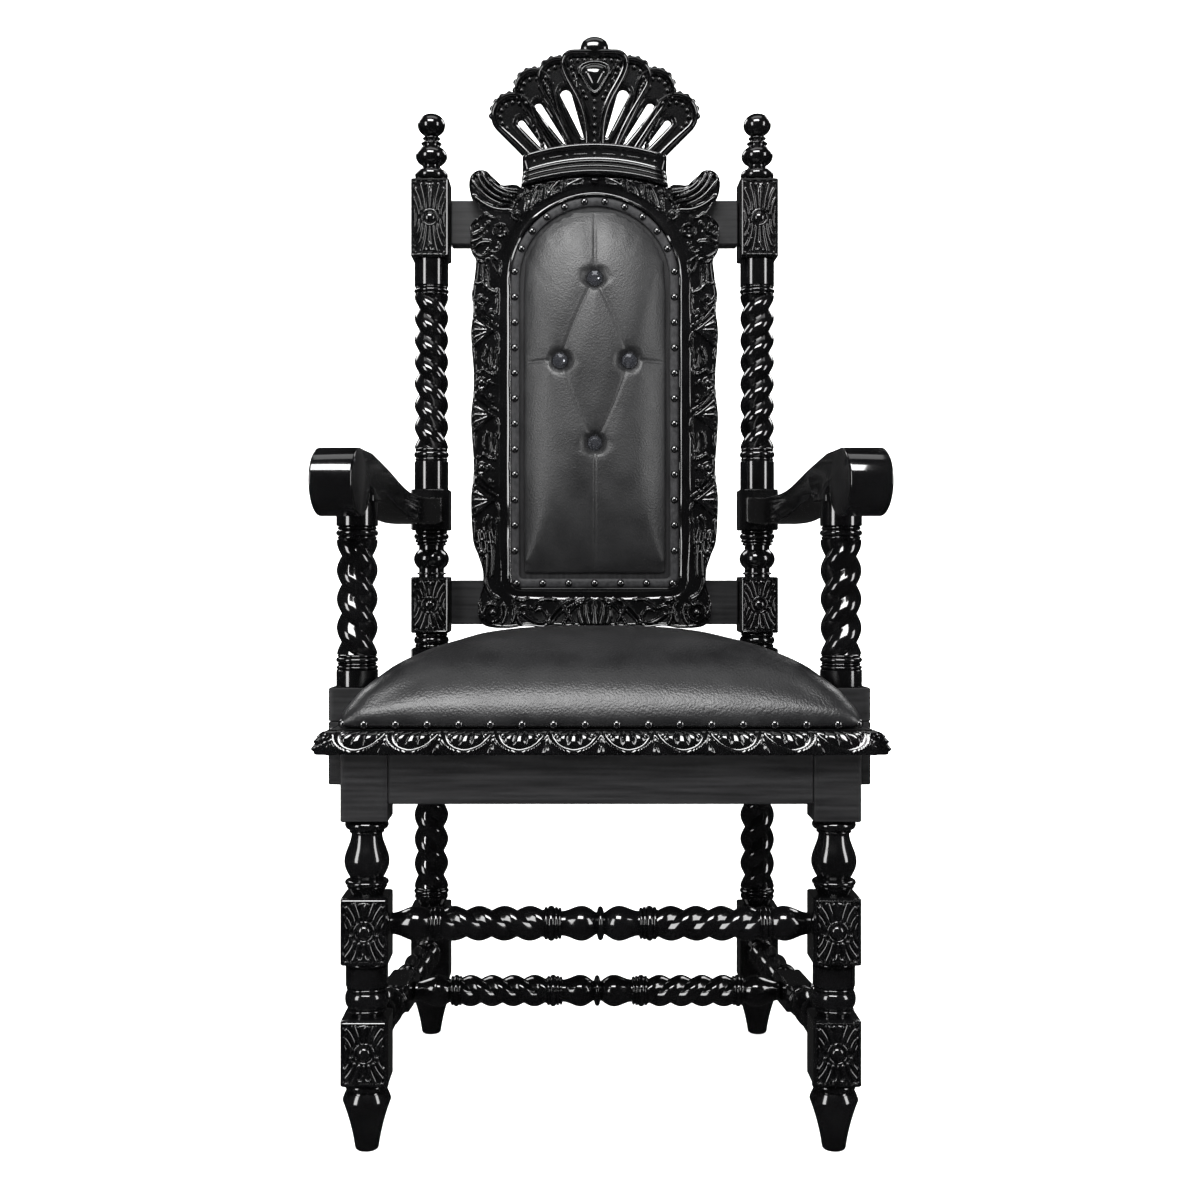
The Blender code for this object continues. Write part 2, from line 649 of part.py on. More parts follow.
def frame_stations():
    """Inner point, outer point and relief along the right half of the frame, from bottom to top."""
    inner_half = OPENING_HALF_WIDTH
    corner = OPENING_CORNER_RADIUS
    stations = []
    for i in range(5):
        share = i / 4
        palmette = 1 - min(1.0, share * 2.2)
        stations.append((
            ((inner_half - corner) * share, OPENING_LEVEL),
            (FRAME_HALF_WIDTH * 0.80 * share, FRAME_FOOT + 0.004 * math.sin(share * math.pi)),
            0.5 + 0.5 * palmette,
        ))
    volute = FRAME_HALF_WIDTH * 0.115
    for i in range(1, CORNER_STEPS + 1):
        angle = math.radians(-90 + 90 * i / CORNER_STEPS)
        stations.append((
            (inner_half - corner + corner * math.cos(angle),
             OPENING_LEVEL + corner + corner * math.sin(angle)),
            (FRAME_HALF_WIDTH * 0.97 - volute + volute * math.cos(angle),
             FRAME_FOOT + volute * 1.05 + volute * math.sin(angle)),
            0.9,
        ))
    low, high = OPENING_LEVEL + corner, SPRING_LEVEL
    for i in range(1, STILE_STATIONS + 1):
        share = i / STILE_STATIONS
        z = low + (high - low) * share
        leaf = abs(math.sin(math.pi * (share * (LEAF_COUNT + 1.5) - 0.35))) if share > 0.12 else 0.0
        waist = math.exp(-((share - 0.06) / 0.05) ** 2)
        outer = FRAME_HALF_WIDTH - LEAF_FLARE * (1 - leaf) - LEAF_FLARE * 1.6 * waist
        stations.append(((inner_half, z), (outer, z), 0.35 + 0.65 * leaf))
    wide, top = FRAME_HALF_WIDTH, CREST_LEVEL + 0.009
    scroll = (
        (wide * 1.000, top - 0.112), (wide * 1.010, top - 0.082), (wide * 0.965, top - 0.063),
        (wide * 0.900, top - 0.054), (wide * 0.965, top - 0.040), (wide * 1.015, top - 0.028),
        (wide * 1.025, top - 0.013), (wide * 0.988, top - 0.003), (wide * 0.930, top),
        (wide * 0.867, top - 0.005), (wide * 0.825, top - 0.013), (wide * 0.765, top - 0.019),
        (wide * 0.700, top - 0.020),
    )
    for i, outer in enumerate(scroll):
        angle = math.radians(8 + 50 * i / (len(scroll) - 1))
        stations.append((
            (inner_half * math.cos(angle), SPRING_LEVEL + inner_half * math.sin(angle)), outer, 0.9
        ))
    for i in range(5):
        share = i / 4
        x = CROWN_BASE_HALF_WIDTH * (1 - share)
        angle = math.radians(62 + 28 * share)
        stations.append((
            (inner_half * math.cos(angle), SPRING_LEVEL + inner_half * math.sin(angle)),
            (x, crest_edge(x)),
            0.6 if i % 2 else 0.9,
        ))
    return stations


def carved_frame(name):
    """The carved surround of the back, one ring from the bottom palmette round to the top."""
    right = frame_stations()
    left = [((-inner[0], inner[1]), (-outer[0], outer[1]), relief)
            for inner, outer, relief in reversed(right[1:-1])]
    rings = []
    for inner, outer, relief in [*right, *left]:
        def between(share):
            return (inner[0] + (outer[0] - inner[0]) * share, inner[1] + (outer[1] - inner[1]) * share)
        profile = (
            (0.0, FRAME_BACK), (0.0, FRAME_FRONT + 0.004), (0.16, FRAME_FRONT + 0.004),
            (0.50, FRAME_FRONT - FRAME_RELIEF * relief),
            (1.0, FRAME_FRONT + 0.003), (1.0, FRAME_BACK),
        )
        rings.append([(between(share)[0], y, between(share)[1]) for share, y in profile])
    return loft(name, rings, closed=True)


def band(name, outer, inner, front, back):
    """A flat band between two outlines of the same number of points."""
    rings = []
    for (ox, oz), (ix, iz) in zip(outer, inner):
        rings.append([(ox, back, oz), (ox, front, oz), (ix, front, iz), (ix, back, iz)])
    return loft(name, rings, closed=True)


def teardrop(base, base_radius, tip, tip_radius, steps=4):
    """The outline round two circles of unlike size: the strap loops of the crown and their slots."""
    (bx, bz), (tx, tz) = base, tip
    reach = math.hypot(tx - bx, tz - bz)
    heading = math.atan2(tz - bz, tx - bx)
    lean = math.asin((tip_radius - base_radius) / reach)
    points = []
    for i in range(steps + 1):
        angle = heading - (math.pi / 2 + lean) + (math.pi + 2 * lean) * i / steps
        points.append((tx + tip_radius * math.cos(angle), tz + tip_radius * math.sin(angle)))
    for i in range(steps - 1):
        angle = heading + (math.pi / 2 + lean) + (math.pi - 2 * lean) * i / (steps - 2)
        points.append((bx + base_radius * math.cos(angle), bz + base_radius * math.sin(angle)))
    return points


def strap_loop(name, base, base_radius, tip, tip_radius, back, front):
    """A teardrop of wood with its face swelling inside a bevelled rim."""
    rings = []
    rise = (front - back) * 0.35
    rim = tip_radius * 0.25
    for shrink, y in ((0.0, back), (0.0, front - rise), (rim, front)):
        outline = teardrop(base, max(base_radius - shrink, base_radius * 0.3), tip, tip_radius - shrink)
        rings.append([(x, y, z) for x, z in outline])
    return loft(name, rings)


def crown(name, cutters):
    """Seven strap loops fanned over an arched base, with six slots and a knob on top."""
    level = CREST_LEVEL
    high = CROWN_HEIGHT
    wide = CROWN_HALF_WIDTH
    middle = FRAME_BACK - CROWN_THICKNESS / 2 - 0.002
    solid = base_band(name, middle)
    loops = (
        ((0.0, level + high * 0.22), 0.0150, (0.0, level + high * 0.690), 0.0400, 0),
        ((wide * 0.11, level + high * 0.18), 0.0130, (wide * 0.385, level + high * 0.683), 0.0214, 1),
        ((wide * 0.31, level + high * 0.17), 0.0120, (wide * 0.607, level + high * 0.566), 0.0218, 2),
        ((wide * 0.54, level + high * 0.14), 0.0120, (wide * 0.834, level + high * 0.446), 0.0224, 3),
    )
    slots = (
        ((wide * 0.122, level + high * 0.312), 0.0015, (wide * 0.250, level + high * 0.580), 0.0062),
        ((wide * 0.297, level + high * 0.256), 0.0018, (wide * 0.511, level + high * 0.482), 0.0048),
        ((wide * 0.507, level + high * 0.224), 0.0018, (wide * 0.688, level + high * 0.377), 0.0042),
    )
    for base, base_radius, tip, tip_radius, depth in loops:
        for side in ((1,) if depth == 0 else (1, -1)):
            part = strap_loop(
                f"{name}_loop", (side * base[0], base[1]), base_radius, (side * tip[0], tip[1]), tip_radius,
                middle + CROWN_THICKNESS / 2 - 0.0013 * depth - 0.0007 * (side < 0),
                middle - CROWN_THICKNESS / 2 + 0.0017 * depth + 0.0006 * (side < 0),
            )
            cutters.append(part)
            combine(solid, "UNION", part)
    for base, base_radius, tip, tip_radius in slots:
        for side in (1, -1):
            outline = teardrop((side * base[0], base[1]), base_radius, (side * tip[0], tip[1]), tip_radius)
            cutter = prism(
                f"{name}_slot", outline, middle - CROWN_THICKNESS, middle + CROWN_THICKNESS, upright=True
            )
            cutters.append(cutter)
            combine(solid, "DIFFERENCE", cutter)
    knob = bmesh.new()
    bmesh.ops.create_uvsphere(knob, u_segments=12, v_segments=8, radius=CROWN_KNOB_RADIUS)
    for vertex in knob.verts:
        vertex.co.y *= 0.62
        vertex.co += Vector((0.0, middle, level + high - CROWN_KNOB_RADIUS))
    knob_object = from_bmesh(f"{name}_knob", knob)
    cutters.append(knob_object)
    combine(solid, "UNION", knob_object)
    return solid


def base_band(name, middle):
    """The crown's arched base, a strip with a moulding along its top and bottom."""
    half = CROWN_THICKNESS / 2
    proud = CROWN_BASE_PROUD
    profile = (
        (0.0, half), (0.0, -half - proud), (0.16, -half - proud * 1.5), (0.34, -half - proud),
        (0.40, -half - proud * 0.3), (0.76, -half - proud * 0.3), (0.82, -half - proud),
        (0.94, -half - proud), (1.0, -half - proud * 0.5), (1.0, half),
    )
    rings = []
    for i in range(11):
        x = CROWN_BASE_HALF_WIDTH * (2 * i / 10 - 1)
        low = crest_edge(x, GAP)
        rings.append([(x, middle + y, low + CROWN_BASE_HEIGHT * share) for share, y in profile])
    return loft(name, rings)


def crystal(name, x, y, z):
    """A round faceted button: a plain girdle, and facets narrowing to a small flat table."""
    rings = []
    for back, radius in ((0.0, 0.92), (0.30, 1.0), (0.72, 0.72), (1.0, 0.36)):
        rings.append([
            (
                x + BUTTON_RADIUS * radius * math.cos(2 * math.pi * k / BUTTON_SIDES),
                y - BUTTON_THICKNESS * back,
                z + BUTTON_RADIUS * radius * math.sin(2 * math.pi * k / BUTTON_SIDES),
            )
            for k in range(BUTTON_SIDES)
        ])
    return loft(name, rings)


def build():
    for old in list(bpy.data.objects):
        bpy.data.objects.remove(old)
    throne = bpy.data.collections.new("throne")
    cutting = bpy.data.collections.new("cutters")
    for collection in (throne, cutting):
        bpy.context.scene.collection.children.link(collection)

    cutters = []

    def add(piece, finish):
        material = new_material(f"{piece.name}_{finish}", *FINISHES[finish])
        piece.data.materials.append(material)
        throne.objects.link(piece)

    def stand(piece, x, y):
        piece.location = (x, y, 0.0)
        return piece

    for side, word in ((-1, "left"), (1, "right")):
        add(stand(front_leg(f"front_leg_{word}"), side * FRONT_X, FRONT_Y), "gloss_black")
        add(stand(rear_post(f"rear_post_{word}", side), side * REAR_X, REAR_Y), "gloss_black")
        add(arm(f"arm_{word}", side), "gloss_black")

        post = arm_post(f"arm_post_{word}", side, cutters)
        for item in (post, cutters[-1]):
            stand(item, side * ARM_POST_X, ARM_POST_Y)
            item.rotation_euler.z = side * RAIL_ANGLE
        add(post, "gloss_black")

        rail_front = FRONT_Y + POST_WIDTH / 2 + GAP
        rail_back = REAR_Y - POST_WIDTH / 2 - GAP
        inward = RAIL_THICKNESS / math.cos(RAIL_ANGLE)
        outline = [
            (side * (side_edge(rail_front) - inward), rail_front), (side * side_edge(rail_front), rail_front),
            (side * side_edge(rail_back), rail_back), (side * (side_edge(rail_back) - inward), rail_back),
        ]
        add(prism(f"side_rail_{word}", outline, RAIL_LEVEL, RAIL_TOP, 0.001), "satin_black")

        start = Vector((side * FRONT_X, FRONT_Y + BLOCK_WIDTH / 2 + GAP, SIDE_STRETCHER_HEIGHT))
        end = Vector((side * REAR_X, REAR_Y - POST_WIDTH / 2 - GAP, SIDE_STRETCHER_HEIGHT))
        slant = math.atan2(start.x - end.x, end.y - start.y)
        shorten = STRETCHER_NECK * abs(math.tan(slant))
        rod = side_stretcher(f"side_stretcher_{word}", side, (end - start).length - 2 * shorten)
        rod.location = start + (end - start).normalized() * shorten
        rod.rotation_euler = (-math.pi / 2, 0.0, slant)
        add(rod, "gloss_black")

    front_face = FRONT_Y - POST_WIDTH / 2
    front_reach = FRONT_X - POST_WIDTH / 2 - GAP
    add(
        box("front_rail", -front_reach, front_reach, front_face, front_face + RAIL_THICKNESS,
            RAIL_LEVEL, RAIL_TOP), "satin_black",
    )
    rear_reach = REAR_X - POST_WIDTH / 2 - GAP
    add(
        box("rear_rail", -rear_reach, rear_reach, REAR_Y - RAIL_THICKNESS / 2, REAR_Y + RAIL_THICKNESS / 2,
            RAIL_LEVEL, RAIL_TOP), "satin_black",
    )
    back_reach = REAR_X - BLOCK_WIDTH / 2 - GAP
    for name, level in (("back_rail_lower", LOWER_RAIL_LEVEL), ("back_rail_upper", UPPER_RAIL_LEVEL)):
        add(
            box(name, -back_reach, back_reach, BACK_RAIL_FRONT, BACK_RAIL_FRONT + BACK_RAIL_THICKNESS,
                level, level + BACK_RAIL_HEIGHT), "satin_black",
        )

    stretcher_half = FRONT_X - BLOCK_WIDTH / 2 - GAP
    piece = long_stretcher("front_stretcher", 2 * stretcher_half)
    piece.location = (0.0, FRONT_Y, FRONT_STRETCHER_HEIGHT)
    add(piece, "gloss_black")
    hub_y = FRONT_Y + HUB_SETBACK
    hub_x = FRONT_X + (REAR_X - FRONT_X) * HUB_SETBACK / DEPTH_SPREAD
    slack = STRETCHER_NECK * math.tan(RAIL_ANGLE) + HUB_WIDTH / 2 * (1 / math.cos(RAIL_ANGLE)) + GAP
    piece = long_stretcher("cross_stretcher", 2 * (hub_x - slack))
    piece.location = (0.0, hub_y, SIDE_STRETCHER_HEIGHT)
    add(piece, "gloss_black")

    seat(add, cutters)
    back(add, cutters)
    add(crown("crown", cutters), "gloss_black")
    for cutter in cutters:
        cutter.hide_render = True
        cutter.display_type = "WIRE"
        cutting.objects.link(cutter)


def seat(add, cutters):
    """The board, the cushion on it and the scalloped moulding round its edge."""
    edge = BOARD_OVERHANG
    front = FRONT_Y - POST_WIDTH / 2 - edge
    notch_half = ARM_BLOCK_DEPTH / 2 + 2 * GAP + ARM_BLOCK_DEPTH / 2 * math.sin(RAIL_ANGLE)
    block_front, block_back = ARM_POST_Y - notch_half, ARM_POST_Y + notch_half
    rear = REAR_Y - POST_WIDTH / 2 - GAP
    between_posts = REAR_X - POST_WIDTH / 2 - GAP
    half = [
        (side_edge(front, edge), front),
        (side_edge(block_front, edge), block_front), (side_edge(block_front, -GAP), block_front),
        (side_edge(block_back, -GAP), block_back), (side_edge(block_back, edge), block_back),
        (side_edge(rear, edge), rear), (between_posts, rear),
        (between_posts, REAR_Y + RAIL_THICKNESS / 2),
    ]
    outline = [*half, *[(-x, y) for x, y in reversed(half)]]
    add(prism("seat_board", outline, BOARD_LEVEL, BOARD_TOP), "satin_black")
    cushion = domed_pad(
        "seat_cushion", cushion_outline(), CUSHION_LEVEL, CUSHION_HEIGHT, lambda x, y, z: (x, y, z)
    )
    for side, word in ((-1, "left"), (1, "right")):
        reach = ARM_BLOCK_DEPTH / 2 + CUSHION_CLEARANCE
        inner, outer = sorted((-side * reach, 2 * side * reach))
        notch = box(f"cushion_notch_{word}", inner, outer, -reach, reach, 0.0, 1.0, bevel=0)
        notch.location = (side * ARM_POST_X, ARM_POST_Y, CUSHION_LEVEL - 0.5)
        notch.rotation_euler.z = side * RAIL_ANGLE
        cutters.append(notch)
        combine(cushion, "DIFFERENCE", notch)
    add(cushion, "black_leather")

    corner = side_edge(front, edge)
    mitre = math.tan((math.pi / 2 + RAIL_ANGLE) / 2)
    gap = GAP
    strip = trim_strip(
        "seat_trim_front", (-corner, front - gap), (corner, front - gap), mitre, mitre,
        round(2 * corner / SCALLOP_PITCH),
    )
    add(strip, "gloss_black")
    for side, word in ((-1, "left"), (1, "right")):
        spans = (
            ("fore", front + gap, block_front, mitre, 0.0), ("aft", block_back, rear, 0.0, 0.0),
        )
        for part, y0, y1, start_mitre, end_mitre in spans:
            first = (side * side_edge(y0, edge + gap), y0)
            last = (side * side_edge(y1, edge + gap), y1)
            run = max(1, round((y1 - y0) / SCALLOP_PITCH))
            if side > 0:
                strip = trim_strip(f"seat_trim_{word}_{part}", first, last, start_mitre, end_mitre, run)
            else:
                strip = trim_strip(f"seat_trim_{word}_{part}", last, first, end_mitre, start_mitre, run)
            add(strip, "gloss_black")


def back(add, cutters):
    """The carved frame, the board in it, the tufted pad, the nailed band and the buttons."""
    add(carved_frame("back_frame"), "gloss_black")
    corner = OPENING_CORNER_RADIUS

    def outline(inset):
        return arch_outline(
            OPENING_HALF_WIDTH - inset, OPENING_LEVEL + inset, SPRING_LEVEL, max(corner - inset, 0.004)
        )

    panel_front = FRAME_BACK - PANEL_THICKNESS
    add(prism("back_panel", outline(GAP * 2), panel_front, FRAME_BACK, upright=True), "satin_black")
    band_front = panel_front - GAP - BAND_THICKNESS
    add(
        band("back_band", outline(GAP * 2), outline(BAND_WIDTH), band_front, panel_front - GAP),
        "band_leather",
    )
    pad = domed_pad(
        "back_pad", outline(BAND_WIDTH + GAP * 2), GAP, PAD_CROWN,
        lambda x, z, height: (x, panel_front - height, z),
        fullness=(1.0, 0.96, 0.88, 0.72, 0.45),
    )
    for word, across, up in (
        ("top", 0, 1), ("left", -1, 0), ("right", 1, 0), ("bottom", 0, -1),
    ):
        x = across * BUTTON_SIDE_OFFSET
        z = ARCH_TOP - BUTTON_CENTRE_DROP - BUTTON_SPACING * (1 - up)
        seat_y = panel_front - PAD_CROWN * 0.93 + BUTTON_SINK
        pocket = bmesh.new()
        bmesh.ops.create_cone(
            pocket, cap_ends=True, segments=BUTTON_SIDES, radius1=BUTTON_RADIUS + 4 * GAP,
            radius2=BUTTON_RADIUS * 1.5, depth=PAD_CROWN,
        )
        cutter = from_bmesh(f"pocket_{word}", pocket)
        cutter.rotation_euler.x = math.pi / 2
        cutter.location = (x, seat_y - PAD_CROWN / 2, z)
        cutters.append(cutter)
        combine(pad, "DIFFERENCE", cutter)
        add(crystal(f"button_{word}", x, seat_y - GAP, z), "crystal")
    add(pad, "black_leather")


FINISHES = {
    "gloss_black": ((0.006, 0.006, 0.007), 0.16, 0.0, 0.0, 0.6),
    "satin_black": ((0.012, 0.012, 0.012), 0.42),
    "black_leather": ((0.014, 0.014, 0.015), 0.38),
    "band_leather": ((0.045, 0.045, 0.047), 0.5),
    "crystal": ((0.03, 0.03, 0.035), 0.03, 0.0, 0.4),
}


build()
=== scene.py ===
import math

import bmesh
import bpy
import numpy as np
from mathutils import Matrix, Vector


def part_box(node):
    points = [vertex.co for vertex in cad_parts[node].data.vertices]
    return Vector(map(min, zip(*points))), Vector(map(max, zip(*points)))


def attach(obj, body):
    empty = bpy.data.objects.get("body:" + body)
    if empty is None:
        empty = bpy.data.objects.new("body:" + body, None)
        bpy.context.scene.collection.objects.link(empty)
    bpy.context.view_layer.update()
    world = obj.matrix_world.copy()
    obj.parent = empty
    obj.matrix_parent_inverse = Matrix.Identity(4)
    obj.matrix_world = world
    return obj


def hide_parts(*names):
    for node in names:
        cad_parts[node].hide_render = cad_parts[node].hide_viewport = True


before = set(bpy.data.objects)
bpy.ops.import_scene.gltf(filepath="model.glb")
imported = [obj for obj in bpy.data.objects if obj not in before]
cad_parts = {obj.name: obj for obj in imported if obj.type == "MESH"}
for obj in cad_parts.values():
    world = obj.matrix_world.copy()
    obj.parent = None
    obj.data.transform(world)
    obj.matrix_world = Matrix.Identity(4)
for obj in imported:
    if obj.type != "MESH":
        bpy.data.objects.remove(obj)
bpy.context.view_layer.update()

# Front legs. Each is one length of hardwood, left square where the rails and stretchers meet it and
# turned to beads, a vase and a tapered foot between. The two lower blocks are carved on the front.
# The leg is sprayed with black lacquer and polished; its top block is satin, as the rails are.
SIDES = ((-1, "left"), (1, "right"))
COLUMNS = 48
POST_WIDTH = 0.049
BLOCK_EDGE = 0.0022
CARVING_DEPTH = 0.0027
LEG_RADIUS = 0.0220
LEG_BEAD = 0.0228
LEG_NECK = 0.0160
LEG_VASE = 0.0235
FOOT_SOLE = 0.0125
FOOT_WIDEST = 0.0252
FOOT_HEIGHT = 0.0713
FOOT_BELLY = 0.0515
LOW_BLOCK = 0.0682
LOW_TURNING = 0.0561
MID_BLOCK = 0.0694
VASE_HEIGHT = 0.0777
SATIN_FROM = 0.3436
PANEL_INSET = 0.001


def middle(node):
    """The middle of a CAD node's box."""
    return [(a + b) / 2 for a, b in zip(*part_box(node))]


def new_group(name, inputs, outputs):
    """An empty shader node group with named sockets."""
    tree = bpy.data.node_groups.new(name, "ShaderNodeTree")
    for label, kind, value in inputs:
        tree.interface.new_socket(name=label, in_out="INPUT", socket_type=kind).default_value = value
    for label, kind in outputs:
        tree.interface.new_socket(name=label, in_out="OUTPUT", socket_type=kind)
    return tree, tree.nodes.new("NodeGroupInput"), tree.nodes.new("NodeGroupOutput")


def noise(tree, scale, detail=3.0, stretch=(1, 1, 1)):
    """Noise on object coordinates, its pattern stretched along the axes."""
    place = tree.nodes.new("ShaderNodeTexCoord")
    mapping = tree.nodes.new("ShaderNodeMapping")
    mapping.inputs["Scale"].default_value = stretch
    pattern = tree.nodes.new("ShaderNodeTexNoise")
    pattern.inputs["Scale"].default_value = scale
    pattern.inputs["Detail"].default_value = detail
    tree.links.new(place.outputs["Object"], mapping.inputs["Vector"])
    tree.links.new(mapping.outputs["Vector"], pattern.inputs["Vector"])
    return pattern.outputs["Fac"]


def ranged(tree, value, low, high):
    """Maps a value of 0.3 to 0.7 onto low to high; the two ends may be sockets."""
    node = tree.nodes.new("ShaderNodeMapRange")
    node.inputs["From Min"].default_value = 0.3
    node.inputs["From Max"].default_value = 0.7
    tree.links.new(value, node.inputs["Value"])
    for label, end in (("To Min", low), ("To Max", high)):
        if isinstance(end, (int, float)):
            node.inputs[label].default_value = end
        else:
            tree.links.new(end, node.inputs[label])
    return node.outputs["Result"]


def bumped(tree, height, distance, strength):
    """A normal from a height. strength is a socket."""
    node = tree.nodes.new("ShaderNodeBump")
    node.inputs["Distance"].default_value = distance
    tree.links.new(height, node.inputs["Height"])
    tree.links.new(strength, node.inputs["Strength"])
    return node.outputs["Normal"]


def tinted(tree, value, dark, light):
    """A colour between two sockets."""
    node = tree.nodes.new("ShaderNodeMix")
    node.data_type = "RGBA"
    tree.links.new(value, node.inputs["Factor"])
    tree.links.new(dark, node.inputs["A"])
    tree.links.new(light, node.inputs["B"])
    return node.outputs[2]


def surface(name, shading, raising, depth, colour, light, roughness, spread, bump):
    """A group that turns two patterns into a colour, a roughness and a normal.

    shading holds the arguments of the noise that tints and roughens, raising those of the noise that
    lifts the surface by depth, or a function that takes the tree and returns such a height.
    """
    tree, given, result = new_group(
        name,
        [("Colour", "NodeSocketColor", colour), ("Light colour", "NodeSocketColor", light),
         ("Roughness", "NodeSocketFloat", roughness), ("Rougher", "NodeSocketFloat", roughness + spread),
         ("Relief", "NodeSocketFloat", bump)],
        [("Colour", "NodeSocketColor"), ("Roughness", "NodeSocketFloat"), ("Normal", "NodeSocketVector")],
    )
    shade = noise(tree, *shading)
    height = raising(tree) if callable(raising) else noise(tree, *raising)
    tree.links.new(
        tinted(tree, ranged(tree, shade, 0.0, 1.0), given.outputs["Colour"], given.outputs["Light colour"]),
        result.inputs["Colour"],
    )
    tree.links.new(
        ranged(tree, shade, given.outputs["Roughness"], given.outputs["Rougher"]), result.inputs["Roughness"]
    )
    tree.links.new(bumped(tree, height, depth, given.outputs["Relief"]), result.inputs["Normal"])
    return tree


def finish(name, tree, **sockets):
    """A material whose colour, roughness and normal come from a surface group."""
    material = bpy.data.materials.new(name)
    material.use_nodes = True
    nodes, links = material.node_tree.nodes, material.node_tree.links
    shader = nodes["Principled BSDF"]
    group = nodes.new("ShaderNodeGroup")
    group.node_tree = tree
    for ours, theirs in (("Colour", "Base Color"), ("Roughness", "Roughness"), ("Normal", "Normal")):
        links.new(group.outputs[ours], shader.inputs[theirs])
    for label, value in sockets.items():
        shader.inputs[label.replace("_", " ")].default_value = value
    return material


# Lacquer: faint clouding, and the slow ripple that a sprayed and polished coat keeps.
lacquer = finish(
    "gloss_lacquer",
    surface("polished lacquer", (26, 4), (38, 1), 0.0002,
            (0.0010, 0.0010, 0.0011, 1), (0.0022, 0.0022, 0.0024, 1), 0.19, 0.08, 0.10),
    Coat_Weight=1.0, Coat_Roughness=0.09, Specular_IOR_Level=0.03,
)
# Satin wood: long streaks, the noise squeezed to a twentieth along the length of the board.
grain = {}
for axis, stretch in (("x", (0.05, 1, 1)), ("y", (1, 0.05, 1)), ("z", (1, 1, 0.05))):
    grain[axis] = finish(
        f"satin_wood_{axis}",
        surface(f"wood grain along {axis}", (240, 5, stretch), (520, 3, stretch), 0.00025,
                (0.0045, 0.0045, 0.0048, 1), (0.011, 0.011, 0.0116, 1), 0.40, 0.12, 0.45),
        Coat_Weight=0.05, Coat_Roughness=0.35, Specular_IOR_Level=0.16,
    )


def plain(height, start, end, rows=2):
    """A straight taper: radius runs evenly from start to end."""
    s = np.linspace(0, 1, rows)
    return "round", s * height, start + (end - start) * s


def bead(height, neck, radius, rows=11):
    """A half round moulding: radius = neck + (radius - neck) * sqrt(1 - (2s - 1)^2)."""
    s = (1 - np.cos(np.linspace(0, np.pi, rows))) / 2
    return "round", s * height, neck + (radius - neck) * np.sqrt(np.clip(1 - (2 * s - 1) ** 2, 0, 1))


def ball(height, neck, radius, rows=21):
    """A round swelling, half a circle that never falls below the neck."""
    s = (1 - np.cos(np.linspace(0, np.pi, rows))) / 2
    return "round", s * height, np.maximum(neck, radius * np.sqrt(np.clip(1 - (2 * s - 1) ** 2, 0, 1)))


def vase(height, wide, radius, narrow, belly=0.35, rows=26):
    """Sine up from the wide end to the belly, then a cosine down to the narrow neck."""
    s = np.linspace(0, 1, rows)
    up = wide + (radius - wide) * np.sin(np.clip(s / belly, 0, 1) * np.pi / 2)
    down = narrow + (radius - narrow) * (1 + np.cos((s - belly) / (1 - belly) * np.pi)) / 2
    return "round", s * height, np.where(s < belly, up, down)


def block(height, width):
    """A square length with bevelled edges, given as half widths."""
    e = BLOCK_EDGE * 0.55
    return "square", np.array([0, e, height - e, height]), np.array([-e, 0, 0, -e]) + width / 2


def twist(length, radius, turns):
    """Two round strands wound together: 1.8 mm rows, the turn spread evenly over the length."""
    s = np.linspace(0, 1, max(3, round(length / 0.0018)))
    return "twist", s * length, np.full_like(s, radius), turns


def capped(rings):
    """A stack of rings with both ends drawn together onto their middles."""
    ends = [np.tile(rings[i].mean(0), (rings.shape[1], 1)) for i in (0, -1)]
    return np.concatenate([ends[:1], rings, ends[1:]])


def turned(features, hand=1.0):
    """Rings of COLUMNS points stacked along Z.

    A round ring has one radius. A twisted ring is the outline of two touching strands,
    r = b |cos a| + sqrt((R - b)^2 - b^2 sin^2 a). A square ring walks round a square with its
    corners bevelled. Columns turn with the twist, so the groove always lies on a column.
    """
    k = np.arange(COLUMNS)
    base = 2 * np.pi * k / COLUMNS
    level, turned_by, rings = 0.0, 0.0, []
    per_side = COLUMNS // 4
    for kind, heights, radii, *turns in features:
        if kind == "square":
            share = (k + per_side // 2) % per_side / per_side * 2 - 1
            side = (k + per_side // 2) // per_side % 4
            shift = round(turned_by / (2 * np.pi / COLUMNS))
            for h, half in zip(heights, radii):
                along = np.clip(share * per_side / 2 / (per_side / 2 - 1), -1, 1) * (half - BLOCK_EDGE)
                out = np.where(np.abs(share) > 1 - 1e-9, half - BLOCK_EDGE * 0.29, half)
                along = np.where(share < -1 + 1e-9, -(half - BLOCK_EDGE * 0.29), along)
                x = out * np.cos(side * np.pi / 2) - along * np.sin(side * np.pi / 2)
                y = out * np.sin(side * np.pi / 2) + along * np.cos(side * np.pi / 2)
                ring = np.stack([x, y, np.full(COLUMNS, level + h)], 1)
                rings.append(np.roll(ring, -shift, axis=0))
        else:
            total = 2 * np.pi * (turns[0] if turns else 0.0) * hand
            phase = turned_by + total * heights / heights[-1] if turns else np.full_like(heights, turned_by)
            angle = base[None, :] + phase[:, None]
            r = np.repeat(radii[:, None], COLUMNS, 1)
            if turns:
                b = 0.24 * r
                r = b * np.abs(np.cos(base)) + np.sqrt((r - b) ** 2 - (b * np.sin(base)) ** 2)
            z = np.repeat((level + heights)[:, None], COLUMNS, 1)
            rings.extend(np.stack([r * np.cos(angle), r * np.sin(angle), z], 2))
            turned_by += total
        level += heights[-1]
    return capped(np.array(rings))


